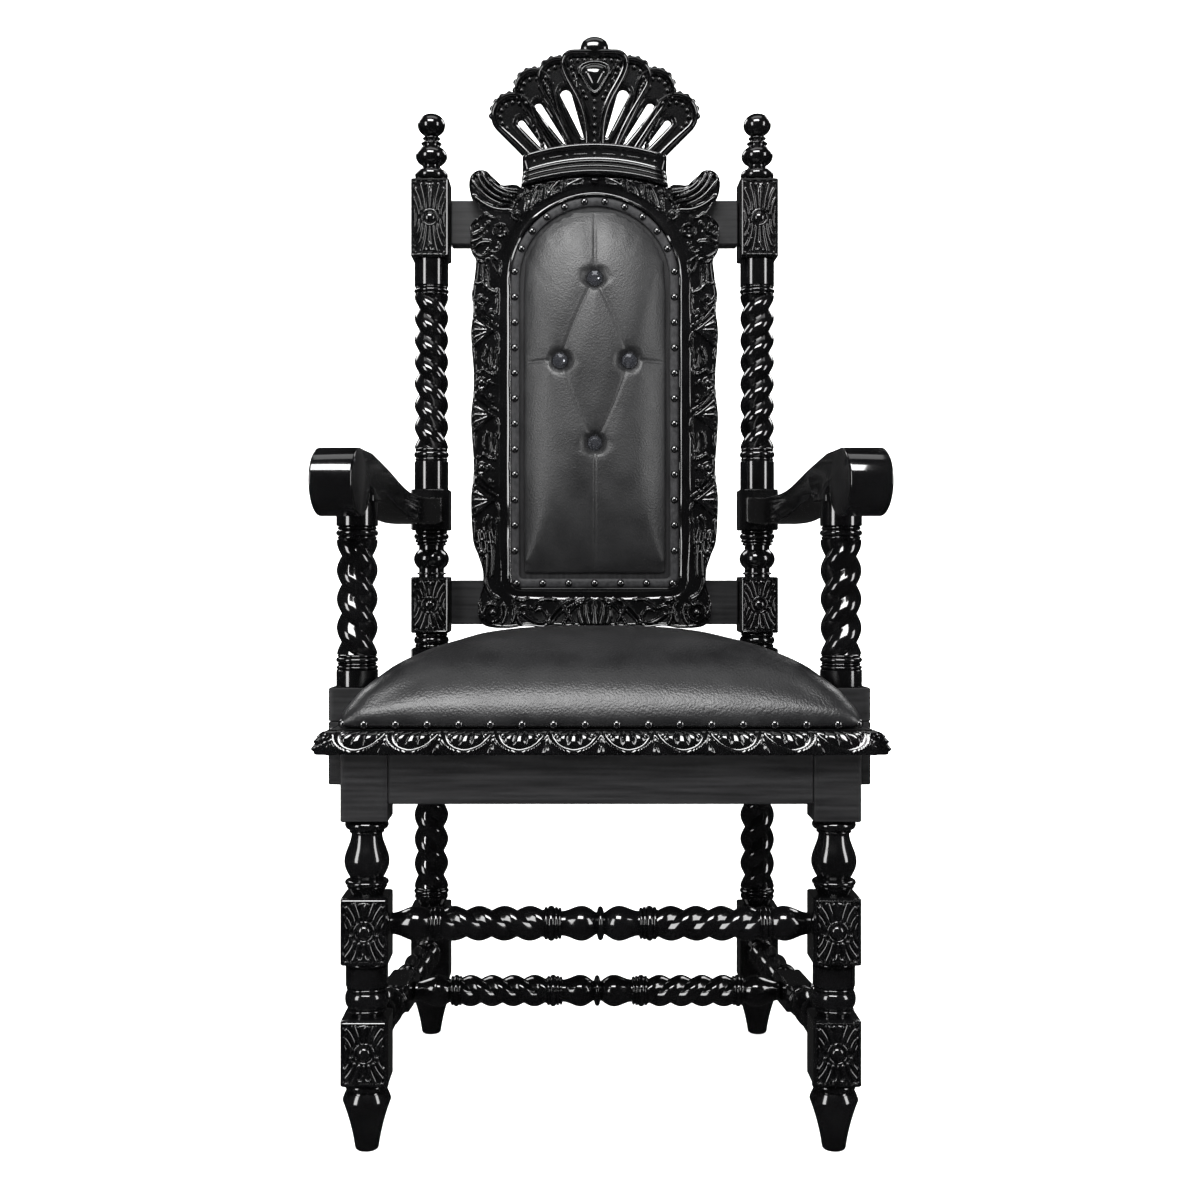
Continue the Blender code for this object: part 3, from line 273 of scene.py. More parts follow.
def skin(points, around=True, along=False):
    """Corner points and quads of a grid of points, closed round its columns and, if asked, its rows."""
    rows, columns = points.shape[:2]
    i = np.arange(rows if along else rows - 1)[:, None]
    j = np.arange(columns if around else columns - 1)[None, :]
    i2, j2 = (i + 1) % rows, (j + 1) % columns
    quads = np.stack([i * columns + j, i * columns + j2, i2 * columns + j2, i2 * columns + j], -1)
    return points.reshape(-1, 3), quads.reshape(-1, 4)


def mirrored(shape):
    """The same skin on the other side of the throne."""
    points, quads = shape
    return points * (-1, 1, 1), quads[:, ::-1]


def placed(shape, matrix):
    """A skin moved and turned by a 4 x 4 matrix."""
    points, quads = shape
    m = np.array(matrix)
    return points @ m[:3, :3].T + m[:3, 3], quads


def piece(name, skins, material, nodes=(), sharp=38, fill=False, second=None, zone=None):
    """One mesh object from several skins, welded, riding on the frame.

    Each skin already faces outwards. fill closes open outlines with one flat face each. The faces
    whose middles lie between the two levels of zone take the second material.
    """
    counts = np.cumsum([0] + [len(points) for points, _ in skins])
    points = np.concatenate([p for p, _ in skins])
    quads = np.concatenate([q + c for (_, q), c in zip(skins, counts)])
    mesh = bpy.data.meshes.new(name)
    mesh.vertices.add(len(points))
    mesh.vertices.foreach_set("co", points.astype(np.float32).ravel())
    mesh.loops.add(quads.size)
    mesh.loops.foreach_set("vertex_index", quads.astype(np.int32).ravel())
    mesh.polygons.add(len(quads))
    mesh.polygons.foreach_set("loop_start", np.arange(0, quads.size, 4, dtype=np.int32))
    mesh.update(calc_edges=True)
    shape = bmesh.new()
    shape.from_mesh(mesh)
    bmesh.ops.remove_doubles(shape, verts=shape.verts, dist=2e-6)
    if fill:
        bmesh.ops.holes_fill(shape, edges=[edge for edge in shape.edges if edge.is_boundary], sides=0)
        bmesh.ops.recalc_face_normals(shape, faces=shape.faces)
    shape.to_mesh(mesh)
    shape.free()
    mesh.shade_smooth()
    if sharp:
        mesh.set_sharp_from_angle(angle=math.radians(sharp))
    made = bpy.data.objects.new(name, mesh)
    bpy.context.scene.collection.objects.link(made)
    made.data.materials.append(material)
    if second:
        made.data.materials.append(second)
        middles = np.empty(len(mesh.polygons) * 3, np.float32)
        mesh.polygons.foreach_get("center", middles)
        inside = (middles[2::3] > zone[0]) & (middles[2::3] < zone[1])
        mesh.polygons.foreach_set("material_index", inside.astype(np.int32))
    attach(made, "root")
    if nodes:
        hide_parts(*nodes)
    return made


def stroke(a, b, start, bend, end, widths, height, lift=0.0):
    """The height of one carved stroke at the points (a, b).

    The stroke follows a curve from start through a bend to its end. Across it the height is half an
    ellipse, height * sqrt(1 - (d / w)^2), and w runs from the first width to the second.
    """
    t = np.linspace(0, 1, 14)
    way = [(1 - t) ** 2 * p + 2 * t * (1 - t) * q + t * t * r for p, q, r in zip(start, bend, end)]
    flat_a, flat_b = a.ravel(), b.ravel()
    reach = max(widths)
    near = (
        (flat_a > way[0].min() - reach) & (flat_a < way[0].max() + reach)
        & (flat_b > way[1].min() - reach) & (flat_b < way[1].max() + reach)
    )
    result = np.zeros(flat_a.shape)
    if not near.any():
        return result.reshape(a.shape)
    pa, pb = flat_a[near][:, None], flat_b[near][:, None]
    a0, b0, a1, b1 = way[0][:-1], way[1][:-1], way[0][1:], way[1][1:]
    da, db = a1 - a0, b1 - b0
    s = np.clip(((pa - a0) * da + (pb - b0) * db) / (da * da + db * db), 0, 1)
    gap = np.hypot(pa - a0 - s * da, pb - b0 - s * db)
    best = gap.argmin(1)
    rows = np.arange(len(best))
    share = (best + s[rows, best]) / (len(t) - 1)
    width = widths[0] + (widths[1] - widths[0]) * share
    rise = np.sqrt(np.clip(1 - (gap[rows, best] / width) ** 2, 0, 1))
    result[near] = np.where(rise > 0, lift + height * rise, 0)
    return result.reshape(a.shape)


def disc(a, b, centre, radius, height, hollow=0.0):
    """A dome, or a ring where hollow is the radius of the line that it follows."""
    gap = np.hypot(a - centre[0], b - centre[1])
    gap = np.abs(gap - hollow) if hollow else gap
    return height * np.sqrt(np.clip(1 - (gap / radius) ** 2, 0, 1))


def block_carving(width, height):
    """Heights of a carved block's panel: a rim, a boss in a ring, and leaves fanned up and down.

    The pattern mirrors on both middle lines, so it is worked out for one quarter.
    """
    columns, rows = 72, round(72 * height / width)
    w, h = width / 2, height / 2
    a, b = np.meshgrid(np.linspace(-w, w, columns), np.linspace(-h, h, rows))
    p, q = np.abs(a), np.abs(b)
    r = 0.165 * width
    deep = CARVING_DEPTH

    def leaf(start, bend, end, widths, height=1.0):
        """A stroke given in shares of the half width and the half height."""
        ends = [(w * x, h * z) for x, z in (start, bend, end)]
        return stroke(p, q, *ends, (w * widths[0], w * widths[1]), deep * height)

    relief = np.maximum.reduce([
        disc(p, q, (0, 0), r * 0.95, deep * 1.7),
        disc(p, q, (0, 0), r * 0.22, deep * 0.7, hollow=r * 1.28),
        leaf((0, r / h * 1.6), (0, 0.6), (0.05, 0.84), (0.07, 0.15)),
        leaf((0, 0.66), (0.10, 0.92), (0.20, 0.84), (0.08, 0.10), 1.2),
        leaf((0.22, r / h * 1.55), (0.26, 0.55), (0.46, 0.86), (0.10, 0.13)),
        leaf((0.42, r / h * 1.25), (0.46, 0.48), (0.76, 0.74), (0.10, 0.13)),
        leaf((0.58, r / h * 0.5), (0.60, 0.32), (0.86, 0.50), (0.10, 0.10)),
        leaf((0.78, 0), (0.76, 0.12), (0.86, 0.26), (0.09, 0.07), 0.8),
        disc(p, q, (0.78 * w, h * 0.91), 0.10 * w, deep),
    ])
    edge = np.minimum(w - p, h - q)
    rim = deep * np.sqrt(np.clip(1 - ((edge - 0.0014) / 0.0014) ** 2, 0, 1))
    relief = np.maximum(relief * np.clip((edge - 0.0022) / 0.0010, 0, 1), rim)
    return a, b, relief * np.clip(edge / 0.0002, 0, 1)


def carved_panel(x, y, low, height):
    """The carving as a thin sheet on the front of a block that stands at (x, y), from low upwards."""
    a, b, relief = block_carving(POST_WIDTH - 2 * PANEL_INSET, height - 2 * PANEL_INSET)
    sheet = np.stack([x + a, y - POST_WIDTH / 2 + 0.0002 - relief, low + height / 2 + b], -1)
    return skin(sheet, around=False)


def foot():
    """A tapered foot: narrow sole, widest two thirds up, a cove and a bead under the block."""
    s = np.linspace(0, 1, 18)
    body = FOOT_SOLE + (FOOT_WIDEST - FOOT_SOLE) * (0.55 * s + 0.45 * s * s)
    return [
        ("round", np.array([0, 0.0012, 0.003]), FOOT_SOLE - np.array([0.0022, 0.0006, 0])),
        ("round", s * (FOOT_BELLY - 0.003), body),
        ("round", np.array([0, 0.0015, 0.006, 0.0095]), FOOT_WIDEST * np.array([1, 0.995, 0.93, 0.86])),
        plain(0.0012, LEG_RADIUS * 0.93, LEG_RADIUS * 0.90),
        bead(FOOT_HEIGHT - FOOT_BELLY - 0.0107, LEG_RADIUS * 0.86, LEG_BEAD),
    ]


def front_leg():
    """Foot, carved block, short turning, carved block, vase and the block that the rails meet."""
    r = LEG_RADIUS
    features = [
        *foot(), block(LOW_BLOCK, POST_WIDTH),
        plain(0.0045, r * 0.78, r * 0.82), bead(0.0034, r * 0.84, r * 0.94),
        plain(0.0012, r * 0.86, r * 0.86),
        bead(LOW_TURNING * 0.30, r * 0.88, LEG_BEAD), bead(0.0042, r * 0.86, r * 0.96),
        plain(0.0010, r * 0.90, r * 0.96), plain(LOW_TURNING * 0.70 - 0.0193, r, r),
        bead(0.0050, r * 0.9, r * 0.98),
        block(MID_BLOCK, POST_WIDTH), plain(VASE_HEIGHT * 0.11, r * 0.74, r * 0.96, 8),
        plain(0.0012, r * 0.90, r * 0.90), bead(0.0058, r * 0.88, LEG_BEAD),
        plain(VASE_HEIGHT * 0.12 - 0.0070, r * 0.78, r * 0.80),
        vase(VASE_HEIGHT * 0.59, r * 0.80, LEG_VASE, LEG_NECK),
        bead(VASE_HEIGHT * 0.04, LEG_NECK, LEG_NECK * 1.14), bead(VASE_HEIGHT * 0.14, LEG_NECK, LEG_BEAD),
    ]
    done = sum(feature[1][-1] for feature in features)
    return [*features, block(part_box("front_leg_left")[1][2] - done, POST_WIDTH)]


for side, word in SIDES:
    x, y, _ = middle(f"front_leg_{word}")
    piece(f"carved_leg_{word}", [
        skin(turned(front_leg()) + (x, y, 0)),
        carved_panel(x, y, FOOT_HEIGHT, LOW_BLOCK),
        carved_panel(x, y, FOOT_HEIGHT + LOW_BLOCK + LOW_TURNING, MID_BLOCK),
    ], lacquer, [f"front_leg_{word}"], second=grain["x"], zone=(SATIN_FROM, 1.0))


# Rear posts. The same hardwood run to full height, square where the rails and arms are tenoned in,
# carved on the front at the two back rails, and wound as a rope between. A ball and finial top them.
REAR_BLOCK = 0.0963
CARVED_LIFT = 0.020
LOWER_CARVED = 0.0720
UPPER_CARVED = 0.1011
# Levels of the CAD's post: the foot and the head of the block at the seat, the foot of the block at
# the arm and of the upper carved block.
SEAT_BLOCK_LOW = 0.3570
SEAT_BLOCK_TOP = 0.4997
ARM_JOINT = 0.6522
UPPER_CARVED_LOW = 1.0034


def beads(height, radius):
    """The group that frames every rope: a fine ring, a full bead and a fine ring."""
    return [
        bead(height * 0.26, radius * 0.86, radius * 0.96), bead(height * 0.48, radius * 0.88, radius * 1.03),
        bead(height * 0.26, radius * 0.86, radius * 0.96),
    ]


def rear_post():
    """Every length of the post from the floor up."""
    r = LEG_RADIUS
    lower = SEAT_BLOCK_LOW - FOOT_HEIGHT - REAR_BLOCK - 0.033
    swell = ARM_JOINT - SEAT_BLOCK_TOP - CARVED_LIFT - LOWER_CARVED - 0.026
    return [
        *foot(), block(REAR_BLOCK, POST_WIDTH),
        plain(0.0085, r * 0.76, r * 0.98, 8), plain(0.0025, r * 0.98, r * 0.98), *beads(0.011, r),
        twist(lower, r, 2.5), *beads(0.011, r), block(SEAT_BLOCK_TOP - SEAT_BLOCK_LOW, POST_WIDTH),
        *beads(CARVED_LIFT, r), block(LOWER_CARVED, POST_WIDTH),
        plain(0.0030, r * 0.74, r * 0.74), bead(0.0030, r * 0.74, r * 0.86), ball(swell, r * 0.74, 0.0230),
        bead(0.0040, r * 0.76, r * 0.88), *beads(CARVED_LIFT - 0.0040, r), block(0.0524, POST_WIDTH),
        plain(0.0010, r * 0.94, r), plain(0.0354, r, r), plain(0.0010, r, r * 0.94), *beads(0.0168, r),
        twist(0.198, r, 3.5), *beads(0.0117, r), plain(0.0009, r * 0.94, r), plain(0.0330, r, r),
        plain(0.0010, r, r * 0.94), block(UPPER_CARVED, POST_WIDTH),
        plain(0.0020, r * 0.72, r * 0.72), bead(0.0130, 0.0160, 0.0215), plain(0.0041, 0.0150, 0.0122, 5),
        ball(0.0290, 0.0112, 0.0205, 25), bead(0.0040, 0.0098, 0.0135), plain(0.0030, 0.0096, 0.0085),
        bead(0.0038, 0.0080, 0.0115), ball(0.0304, 0.0030, 0.0180, 25),
    ]


for side, word in SIDES:
    x, y, _ = middle(f"rear_post_{word}")
    piece(f"twisted_post_{word}", [
        skin(turned(rear_post(), side) + (x, y, 0)),
        carved_panel(x, y, SEAT_BLOCK_TOP + CARVED_LIFT, LOWER_CARVED),
        carved_panel(x, y, UPPER_CARVED_LOW, UPPER_CARVED),
    ], lacquer, [f"rear_post_{word}"])


# Stretchers. Four turned rods of the same wood brace the legs, each a rope between vases and beads.
# The side pair swell to a square hub in the middle, where the cross stretcher is tenoned in.
ROD = 0.0180
ROD_NECK = 0.0110
VASE_LENGTH = 0.0360
END_LENGTH = 0.0410
HUB_WIDTH = 0.032
HUB_LENGTH = 0.066
HALF_RING = 0.0034
BEADS_AND_NECKS = 0.0349
# Where the side rods start and end on the legs, how far behind the front leg the hub lies, and their
# level: the CAD's own sizes.
FRONT_START = 0.0255
REAR_END = 0.0248
HUB_BEHIND = 0.190
SIDE_ROD_LEVEL = 0.1117


def half_rod(length):
    """From the middle ring outwards: a vase, beads, the rope, beads and the end swelling."""
    fixed = BEADS_AND_NECKS + VASE_LENGTH + END_LENGTH
    ring = np.linspace(0, 1, 8)
    return [
        ("round", ring * HALF_RING, ROD * (0.70 + 0.27 * np.sqrt(1 - ring ** 2))),
        plain(0.0009, ROD * 0.70, ROD_NECK),
        vase(VASE_LENGTH, ROD_NECK, ROD, ROD_NECK * 1.15, 0.42), bead(0.0036, ROD * 0.74, ROD * 0.90),
        *beads(0.0144, ROD * 0.97), twist(length - fixed, ROD, 2), *beads(0.0126, ROD * 0.97),
        plain(0.0010, ROD * 0.78, ROD * 0.72), vase(END_LENGTH - 0.0010, ROD * 0.72, ROD, ROD_NECK, 0.34),
    ]


for name, node in (("front_rod", "front_stretcher"), ("cross_rod", "cross_stretcher")):
    _, y, z = middle(node)
    half = skin((turned(half_rod(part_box(node)[1][0]), -1)[..., [2, 0, 1]] + (0, y, z))[1:])
    piece(name, [half, mirrored(half)], lacquer, [node])

for side, word in SIDES:
    start = np.array(middle(f"front_leg_{word}")[:2]) + (0, FRONT_START)
    end = np.array(middle(f"rear_post_{word}")[:2]) - (0, REAR_END)
    run = end - start
    slant = math.atan2(-run[0], run[1])
    shorten = ROD_NECK * abs(math.tan(slant))
    length = float(np.hypot(*run)) - 2 * shorten
    front_part = HUB_BEHIND - FRONT_START - HUB_LENGTH / 2
    front_part, rear_part = ([
        plain(0.0054, ROD_NECK, ROD * 0.85, 7), *beads(0.0050, ROD * 0.95), twist(part - 0.0324, ROD, 1.25),
        *beads(0.0108, ROD * 0.97), plain(0.0112, ROD * 0.85, ROD_NECK, 9),
    ] for part in (front_part, length - front_part - HUB_LENGTH))
    features = [*front_part, block(HUB_LENGTH, HUB_WIDTH), *rear_part]
    x, y = start + run / np.hypot(*run) * shorten
    turn = Matrix.Rotation(slant, 4, "Z") @ Matrix.Rotation(-math.pi / 2, 4, "X")
    rod = placed(skin(turned(features, side)), Matrix.Translation((x, y, SIDE_ROD_LEVEL)) @ turn)
    piece(f"side_rod_{word}", [rod], lacquer, [f"side_stretcher_{word}"])


# Rails and boards. Straight sawn hardwood between the posts, stained black and waxed to a satin
# sheen, so that the grain still shows along each length. These are the CAD's own solids.
for axis, names in (
    ("x", ("front_rail", "rear_rail", "back_rail_lower", "back_rail_upper", "seat_board")),
    ("y", ("side_rail_left", "side_rail_right")), ("z", ("back_panel",)),
):
    for name in names:
        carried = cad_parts[name]
        carried.data.materials.clear()
        carried.data.materials.append(grain[axis])


# Arm posts. A short rope-turned post stands on a square block, which is halved over the seat board
# and screwed to the side rail. Same lacquered hardwood; the square block is satin, as the rails are.
ARM_BLOCK = 0.052
ARM_BLOCK_HEIGHT = 0.0361
ARM_POST = 0.0226
ARM_ROPE = 0.0222
BOARD_PLAY = 0.0005
ARM_POST_OUT = 0.2626
POST_SPREAD = 0.400
RAIL_INSET = 0.0311
RAIL_ANGLE = math.atan2(RAIL_INSET, POST_SPREAD)
seat_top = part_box("seat_board")[1][2]

for side, word in SIDES:
    low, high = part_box(f"arm_post_{word}")
    features = [
        block(ARM_BLOCK_HEIGHT, ARM_BLOCK),
        plain(0.0010, 0.0218, ARM_POST), plain(0.0166, ARM_POST, ARM_POST),
        plain(0.0010, ARM_POST, 0.0214), bead(0.0042, 0.0196, ARM_POST), *beads(0.0120, ARM_ROPE),
        twist(0.1243, ARM_ROPE, 2), *beads(0.0142, ARM_ROPE), plain(0.0009, 0.0200, ARM_POST),
    ]
    done = sum(feature[1][-1] for feature in features)
    features.append(plain(high[2] - seat_top - BOARD_PLAY - done, ARM_POST, ARM_POST))
    # The lapped lower half of the block is a whole one squeezed to half its width.
    lap = turned([block(seat_top - low[2], ARM_BLOCK)])
    lap[..., 0] = (lap[..., 0] + ARM_BLOCK / 2) * 0.5 * side
    if side < 0:
        lap = lap[:, ::-1]
    place = Matrix.Translation((side * ARM_POST_OUT, middle(f"arm_post_{word}")[1], 0))
    place = place @ Matrix.Rotation(side * RAIL_ANGLE, 4, "Z")
    piece(f"rope_post_{word}", [
        placed(skin(turned(features, side) + (0, 0, seat_top + BOARD_PLAY)), place),
        placed(skin(lap + (0, 0, low[2])), place),
    ], lacquer, [f"arm_post_{word}"], second=grain["x"], zone=(0.0, seat_top + 0.036))


# Arms. Each is sawn from a thick plank to a long S that ends in a round scroll, undercut behind.
# The edges are eased with a small round and the arms splay outwards to the front.
ARM_WIDTH = 0.0446
ARM_EDGE = 0.0024
ARM_THICK = 0.0340
SCROLL = 0.0358
GAP = 0.0003
FRONT_LEG_Y = -0.188975
REAR_POST_Y = 0.211025
ARM_AT_POST = 0.2117
ARM_AT_LEG = 0.2710
SPLAY = (ARM_AT_LEG - ARM_AT_POST) / (REAR_POST_Y - FRONT_LEG_Y)
HALF_POST = 0.0228
UNDER_STEP = 0.0034


def smoothed(points, steps):
    """A curve through the points: Catmull and Rom's cubic, on whole arrays."""
    p = np.array(points, float)
    p = np.concatenate([p[:1], p, p[-1:]])
    t = (np.arange(steps) / steps)[None, :, None]
    a, b, c, d = (p[i:len(p) - 3 + i, None, :] for i in range(4))
    square, cube = 2 * a - 5 * b + 4 * c - d, 3 * b - a - 3 * c + d
    rows = 0.5 * (2 * b + (c - a) * t + square * t ** 2 + cube * t ** 3)
    return np.concatenate([rows.reshape(-1, p.shape[1]), p[-1:]])


def inward(outline, distance):
    """Moves a closed counter-clockwise outline in by a distance, along the mean of the side normals."""
    before, after = np.roll(outline, 1, 0), np.roll(outline, -1, 0)
    first, second = outline - before, after - outline
    turn = [np.stack([-side[:, 1], side[:, 0]], 1) / np.hypot(*side.T)[:, None] for side in (first, second)]
    mean = turn[0] + turn[1]
    return outline + mean / np.maximum((mean ** 2).sum(1) / 2, 0.5)[:, None] * distance


for side, word in SIDES:
    low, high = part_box(f"arm_{word}")
    back, under = high[1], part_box(f"arm_post_{word}")[1][2] + GAP
    front_y = low[1] + SCROLL - 0.0002
    length = back - front_y
    level = high[2] - SCROLL + 0.0007
    top_back, low_back = (under + UNDER_STEP + half for half in (ARM_THICK / 2, -ARM_THICK / 2))
    post_y = middle(f"arm_post_{word}")[1]
    top = smoothed([
        (back, top_back), (back - length * 0.22, top_back - ARM_THICK * 0.16),
        (back - length * 0.47, top_back - ARM_THICK * 0.05),
        (back - length * 0.71, top_back + ARM_THICK * 0.53),
        (back - length * 0.88, level + SCROLL * 0.93),
    ], 9)
    turn = np.radians(np.linspace(80, 355, 56))
    scroll = np.stack([front_y + SCROLL * np.cos(turn), level + SCROLL * np.sin(turn)], 1)
    in_front, behind = post_y - HALF_POST, post_y + HALF_POST
    notch = smoothed([scroll[-1], (in_front - 0.0010, under + 0.0100), (in_front, under)], 5)[1:]
    belly = smoothed([
        (behind, under), (behind + length * 0.015, under + ARM_THICK * 0.21), (behind + length * 0.11, under),
        (back - length * 0.42, low_back - ARM_THICK * 0.05),
        (back - length * 0.21, low_back - ARM_THICK * 0.12), (back, low_back),
    ], 7)
    outline = np.concatenate([top, scroll, notch, belly])
    # Both long edges are quarter rounds: five rows on one face of the arm, then five on the other.
    rows = []
    for face, turns in ((-1, np.linspace(-90, 0, 5)), (1, np.linspace(0, 90, 5))):
        for tilt in np.radians(turns):
            drawn = inward(outline, ARM_EDGE * (1 - math.cos(tilt)))
            x = side * (ARM_AT_POST + SPLAY * (REAR_POST_Y - drawn[:, 0]))
            x = x + face * (ARM_WIDTH / 2 - ARM_EDGE) + ARM_EDGE * math.sin(tilt)
            rows.append(np.stack([x, drawn[:, 0], drawn[:, 1]], 1))
    piece(f"scroll_arm_{word}", [skin(np.array(rows))], lacquer, [f"arm_{word}"], fill=True)


# Seat moulding. A carved strip nailed round the edge of the board: hanging arcs with fluted shells
# in them, small points between, and a leaf on each corner. Lacquered like the legs.
TRIM_HEIGHT = 0.0247
TRIM_DEPTH = 0.0165
PITCH = 0.0525
LEAF_LENGTH = 0.030
CORNER_TIP = 0.018
ARC_LOW = 0.0212
ARC_TOP = 0.0045
RAIL_FACE_X = 0.2428
RAIL_OUT = 0.0245
BOARD_LAP = 0.006


def shells(s, drop):
    """Relief of the strip. s runs along it with a point between two arcs at 0, drop is metres down."""
    a = (s % PITCH) - PITCH / 2
    sag = ARC_LOW - ARC_TOP
    radius = ((PITCH / 2) ** 2 + sag ** 2) / (2 * sag)
    gap = np.hypot(a, drop - ARC_LOW + radius) - radius
    ridge = 0.0020 * np.exp(-(gap / 0.0016) ** 2)
    fan = np.arctan2(a, drop + 0.016)
    petals = np.sqrt(np.abs(np.cos(fan * 7.5))) * np.sqrt(np.clip((-gap - 0.0046) / 0.0040, 0, 1))
    petals = 0.0030 * petals * np.clip((drop - 0.0012) / 0.0040, 0, 1)
    b = (s + PITCH / 2) % PITCH - PITCH / 2
    point = 0.0022 * np.clip(1 - np.abs(b) / np.maximum((drop - 0.0130) * 0.55, 1e-5), 0, 1) * (drop > 0.0135)
    bead = disc(b, drop, (0, 0.0105), 0.0014, 0.0016)
    return np.maximum.reduce([ridge, petals, point * (gap > 0.0012), bead])


def corner_leaf(s, drop):
    """Three ribs that fan out over the corner; s is the distance from the corner's tip."""
    return np.maximum.reduce([
        stroke(s, drop, (0.034, 0.004), (0.020, 0.005), (0.002, 0.012), (0.0010, 0.0022), 0.0030),
        stroke(s, drop, (0.034, 0.006), (0.022, 0.010), (0.002, 0.0175), (0.0010, 0.0022), 0.0030),
        stroke(s, drop, (0.034, 0.009), (0.024, 0.018), (0.004, 0.0225), (0.0012, 0.0020), 0.0026),
    ])


def trim(start, end, mitres, first, corners):
    """A strip from start to end in plan. first is where the pattern starts, in metres.

    A station's place is start + along * reach + out * depth. The reach grows with the depth by the
    mitre of each end, so that two strips meet on a corner. corners says which ends have a leaf.
    """
    start, end = np.array(start), np.array(end)
    length = float(np.hypot(*(end - start)))
    along = (end - start) / length
    out = np.array([along[1], -along[0]])
    count = max(24, round(length / 0.00085))
    share = np.linspace(0, 1, count + 1)[:, None]
    section = smoothed([
        (0.02, 0.0), (0.30, 0.05), (0.56, 0.24), (0.80, 0.50), (0.93, 0.76), (0.90, 0.95), (0.70, 1.0),
    ], 5)
    depth = section[:, 0][None, :] * TRIM_DEPTH
    s, drop = np.broadcast_arrays(share * length, section[:, 1][None, :] * TRIM_HEIGHT)
    relief = shells(first + s, drop)
    for distance, leafed in ((s, corners[0]), (length - s, corners[1])):
        if leafed:
            near = distance + CORNER_TIP
            relief = np.where(near < LEAF_LENGTH, corner_leaf(near, drop), relief)
    slope = np.gradient(section, axis=0)
    normal = np.stack([slope[:, 1] * TRIM_HEIGHT, -slope[:, 0] * TRIM_DEPTH], 1)
    normal /= np.hypot(*normal.T)[:, None]
    fade = np.clip(np.minimum(section[:, 1] / 0.10, (1.02 - section[:, 1]) / 0.06), 0, 1)[None, :]
    depth = depth * 0.90 + relief * fade * normal[:, 0]
    drop = np.minimum(drop + relief * fade * normal[:, 1], TRIM_HEIGHT)
    # The flat back: two more columns, below and above.
    depth = np.concatenate([depth, np.zeros((count + 1, 2))], 1)
    drop = np.concatenate([drop, np.tile((TRIM_HEIGHT, 0), (count + 1, 1))], 1)
    reach = -mitres[0] * depth + (length + (mitres[0] + mitres[1]) * depth) * share
    x = start[0] + along[0] * reach + out[0] * depth
    y = start[1] + along[1] * reach + out[1] * depth
    return skin(capped(np.stack([x, y, seat_top - drop], -1)))


def edge_x(y, outward):
    """X of the seat's right side at a given depth, a distance outside the side rail's face."""
    share = (y - FRONT_LEG_Y) / POST_SPREAD
    return RAIL_FACE_X + RAIL_OUT - RAIL_INSET * share + outward / math.cos(RAIL_ANGLE)


board_front = FRONT_LEG_Y - RAIL_OUT - BOARD_LAP
corner = edge_x(board_front, BOARD_LAP)
mitre = math.tan((math.pi / 2 + RAIL_ANGLE) / 2)
strip_y = board_front - GAP
strip = trim((-corner, strip_y), (corner, strip_y), (mitre, mitre), 20 * PITCH - corner, (True, True))
piece("trim_front", [strip], lacquer, ["seat_trim_front"])
for side, word in SIDES:
    for part, start_mitre in (("fore", mitre), ("aft", 0.0)):
        low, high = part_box(f"seat_trim_{word}_{part}")
        start_y, end_y = (board_front + GAP if part == "fore" else low[1]), high[1]
        start, end = ((edge_x(y, BOARD_LAP + GAP), y) for y in (start_y, end_y))
        strip = trim(start, end, (start_mitre, 0.0), CORNER_TIP, (part == "fore", False))
        strip = strip if side > 0 else mirrored(strip)
        piece(f"trim_{word}_{part}", [strip], lacquer, [f"seat_trim_{word}_{part}"])


# Seat cushion. Foam under fine black leather, pulled down tight all round and tacked to the board.
# It is the CAD's pad, remeshed and blown up a little as cloth, its lower edge held.
CUSHION_CAP = 0.0060
CUSHION_VOXEL = 0.0078
EDGE_HELD = 0.006
BACK_HELD = 0.005


def pebbles(tree):
    """The grain of leather: rounded cells about 2 mm wide, on object coordinates."""
    place = tree.nodes.new("ShaderNodeTexCoord")
    cells = tree.nodes.new("ShaderNodeTexVoronoi")
    cells.feature = "SMOOTH_F1"
    cells.inputs["Scale"].default_value = 460
    tree.links.new(place.outputs["Object"], cells.inputs["Vector"])
    return cells.outputs["Distance"]


hide = surface(
    "leather grain", (34, 5), pebbles, 0.00055,
    (0.005, 0.005, 0.0054, 1), (0.009, 0.009, 0.0095, 1), 0.33, 0.06, 0.45,
)
leather = finish("black_leather", hide, Specular_IOR_Level=0.30)
pad_leather = finish("pad_leather", hide, Specular_IOR_Level=0.40)
for label, value in (("Roughness", 0.42), ("Rougher", 0.50)):
    pad_leather.node_tree.nodes["Group"].inputs[label].default_value = value


def places(mesh):
    """Where the vertices of a mesh lie, as one array."""
    points = np.empty(len(mesh.vertices) * 3, np.float32)
    mesh.vertices.foreach_get("co", points)
    return points.reshape(-1, 3)


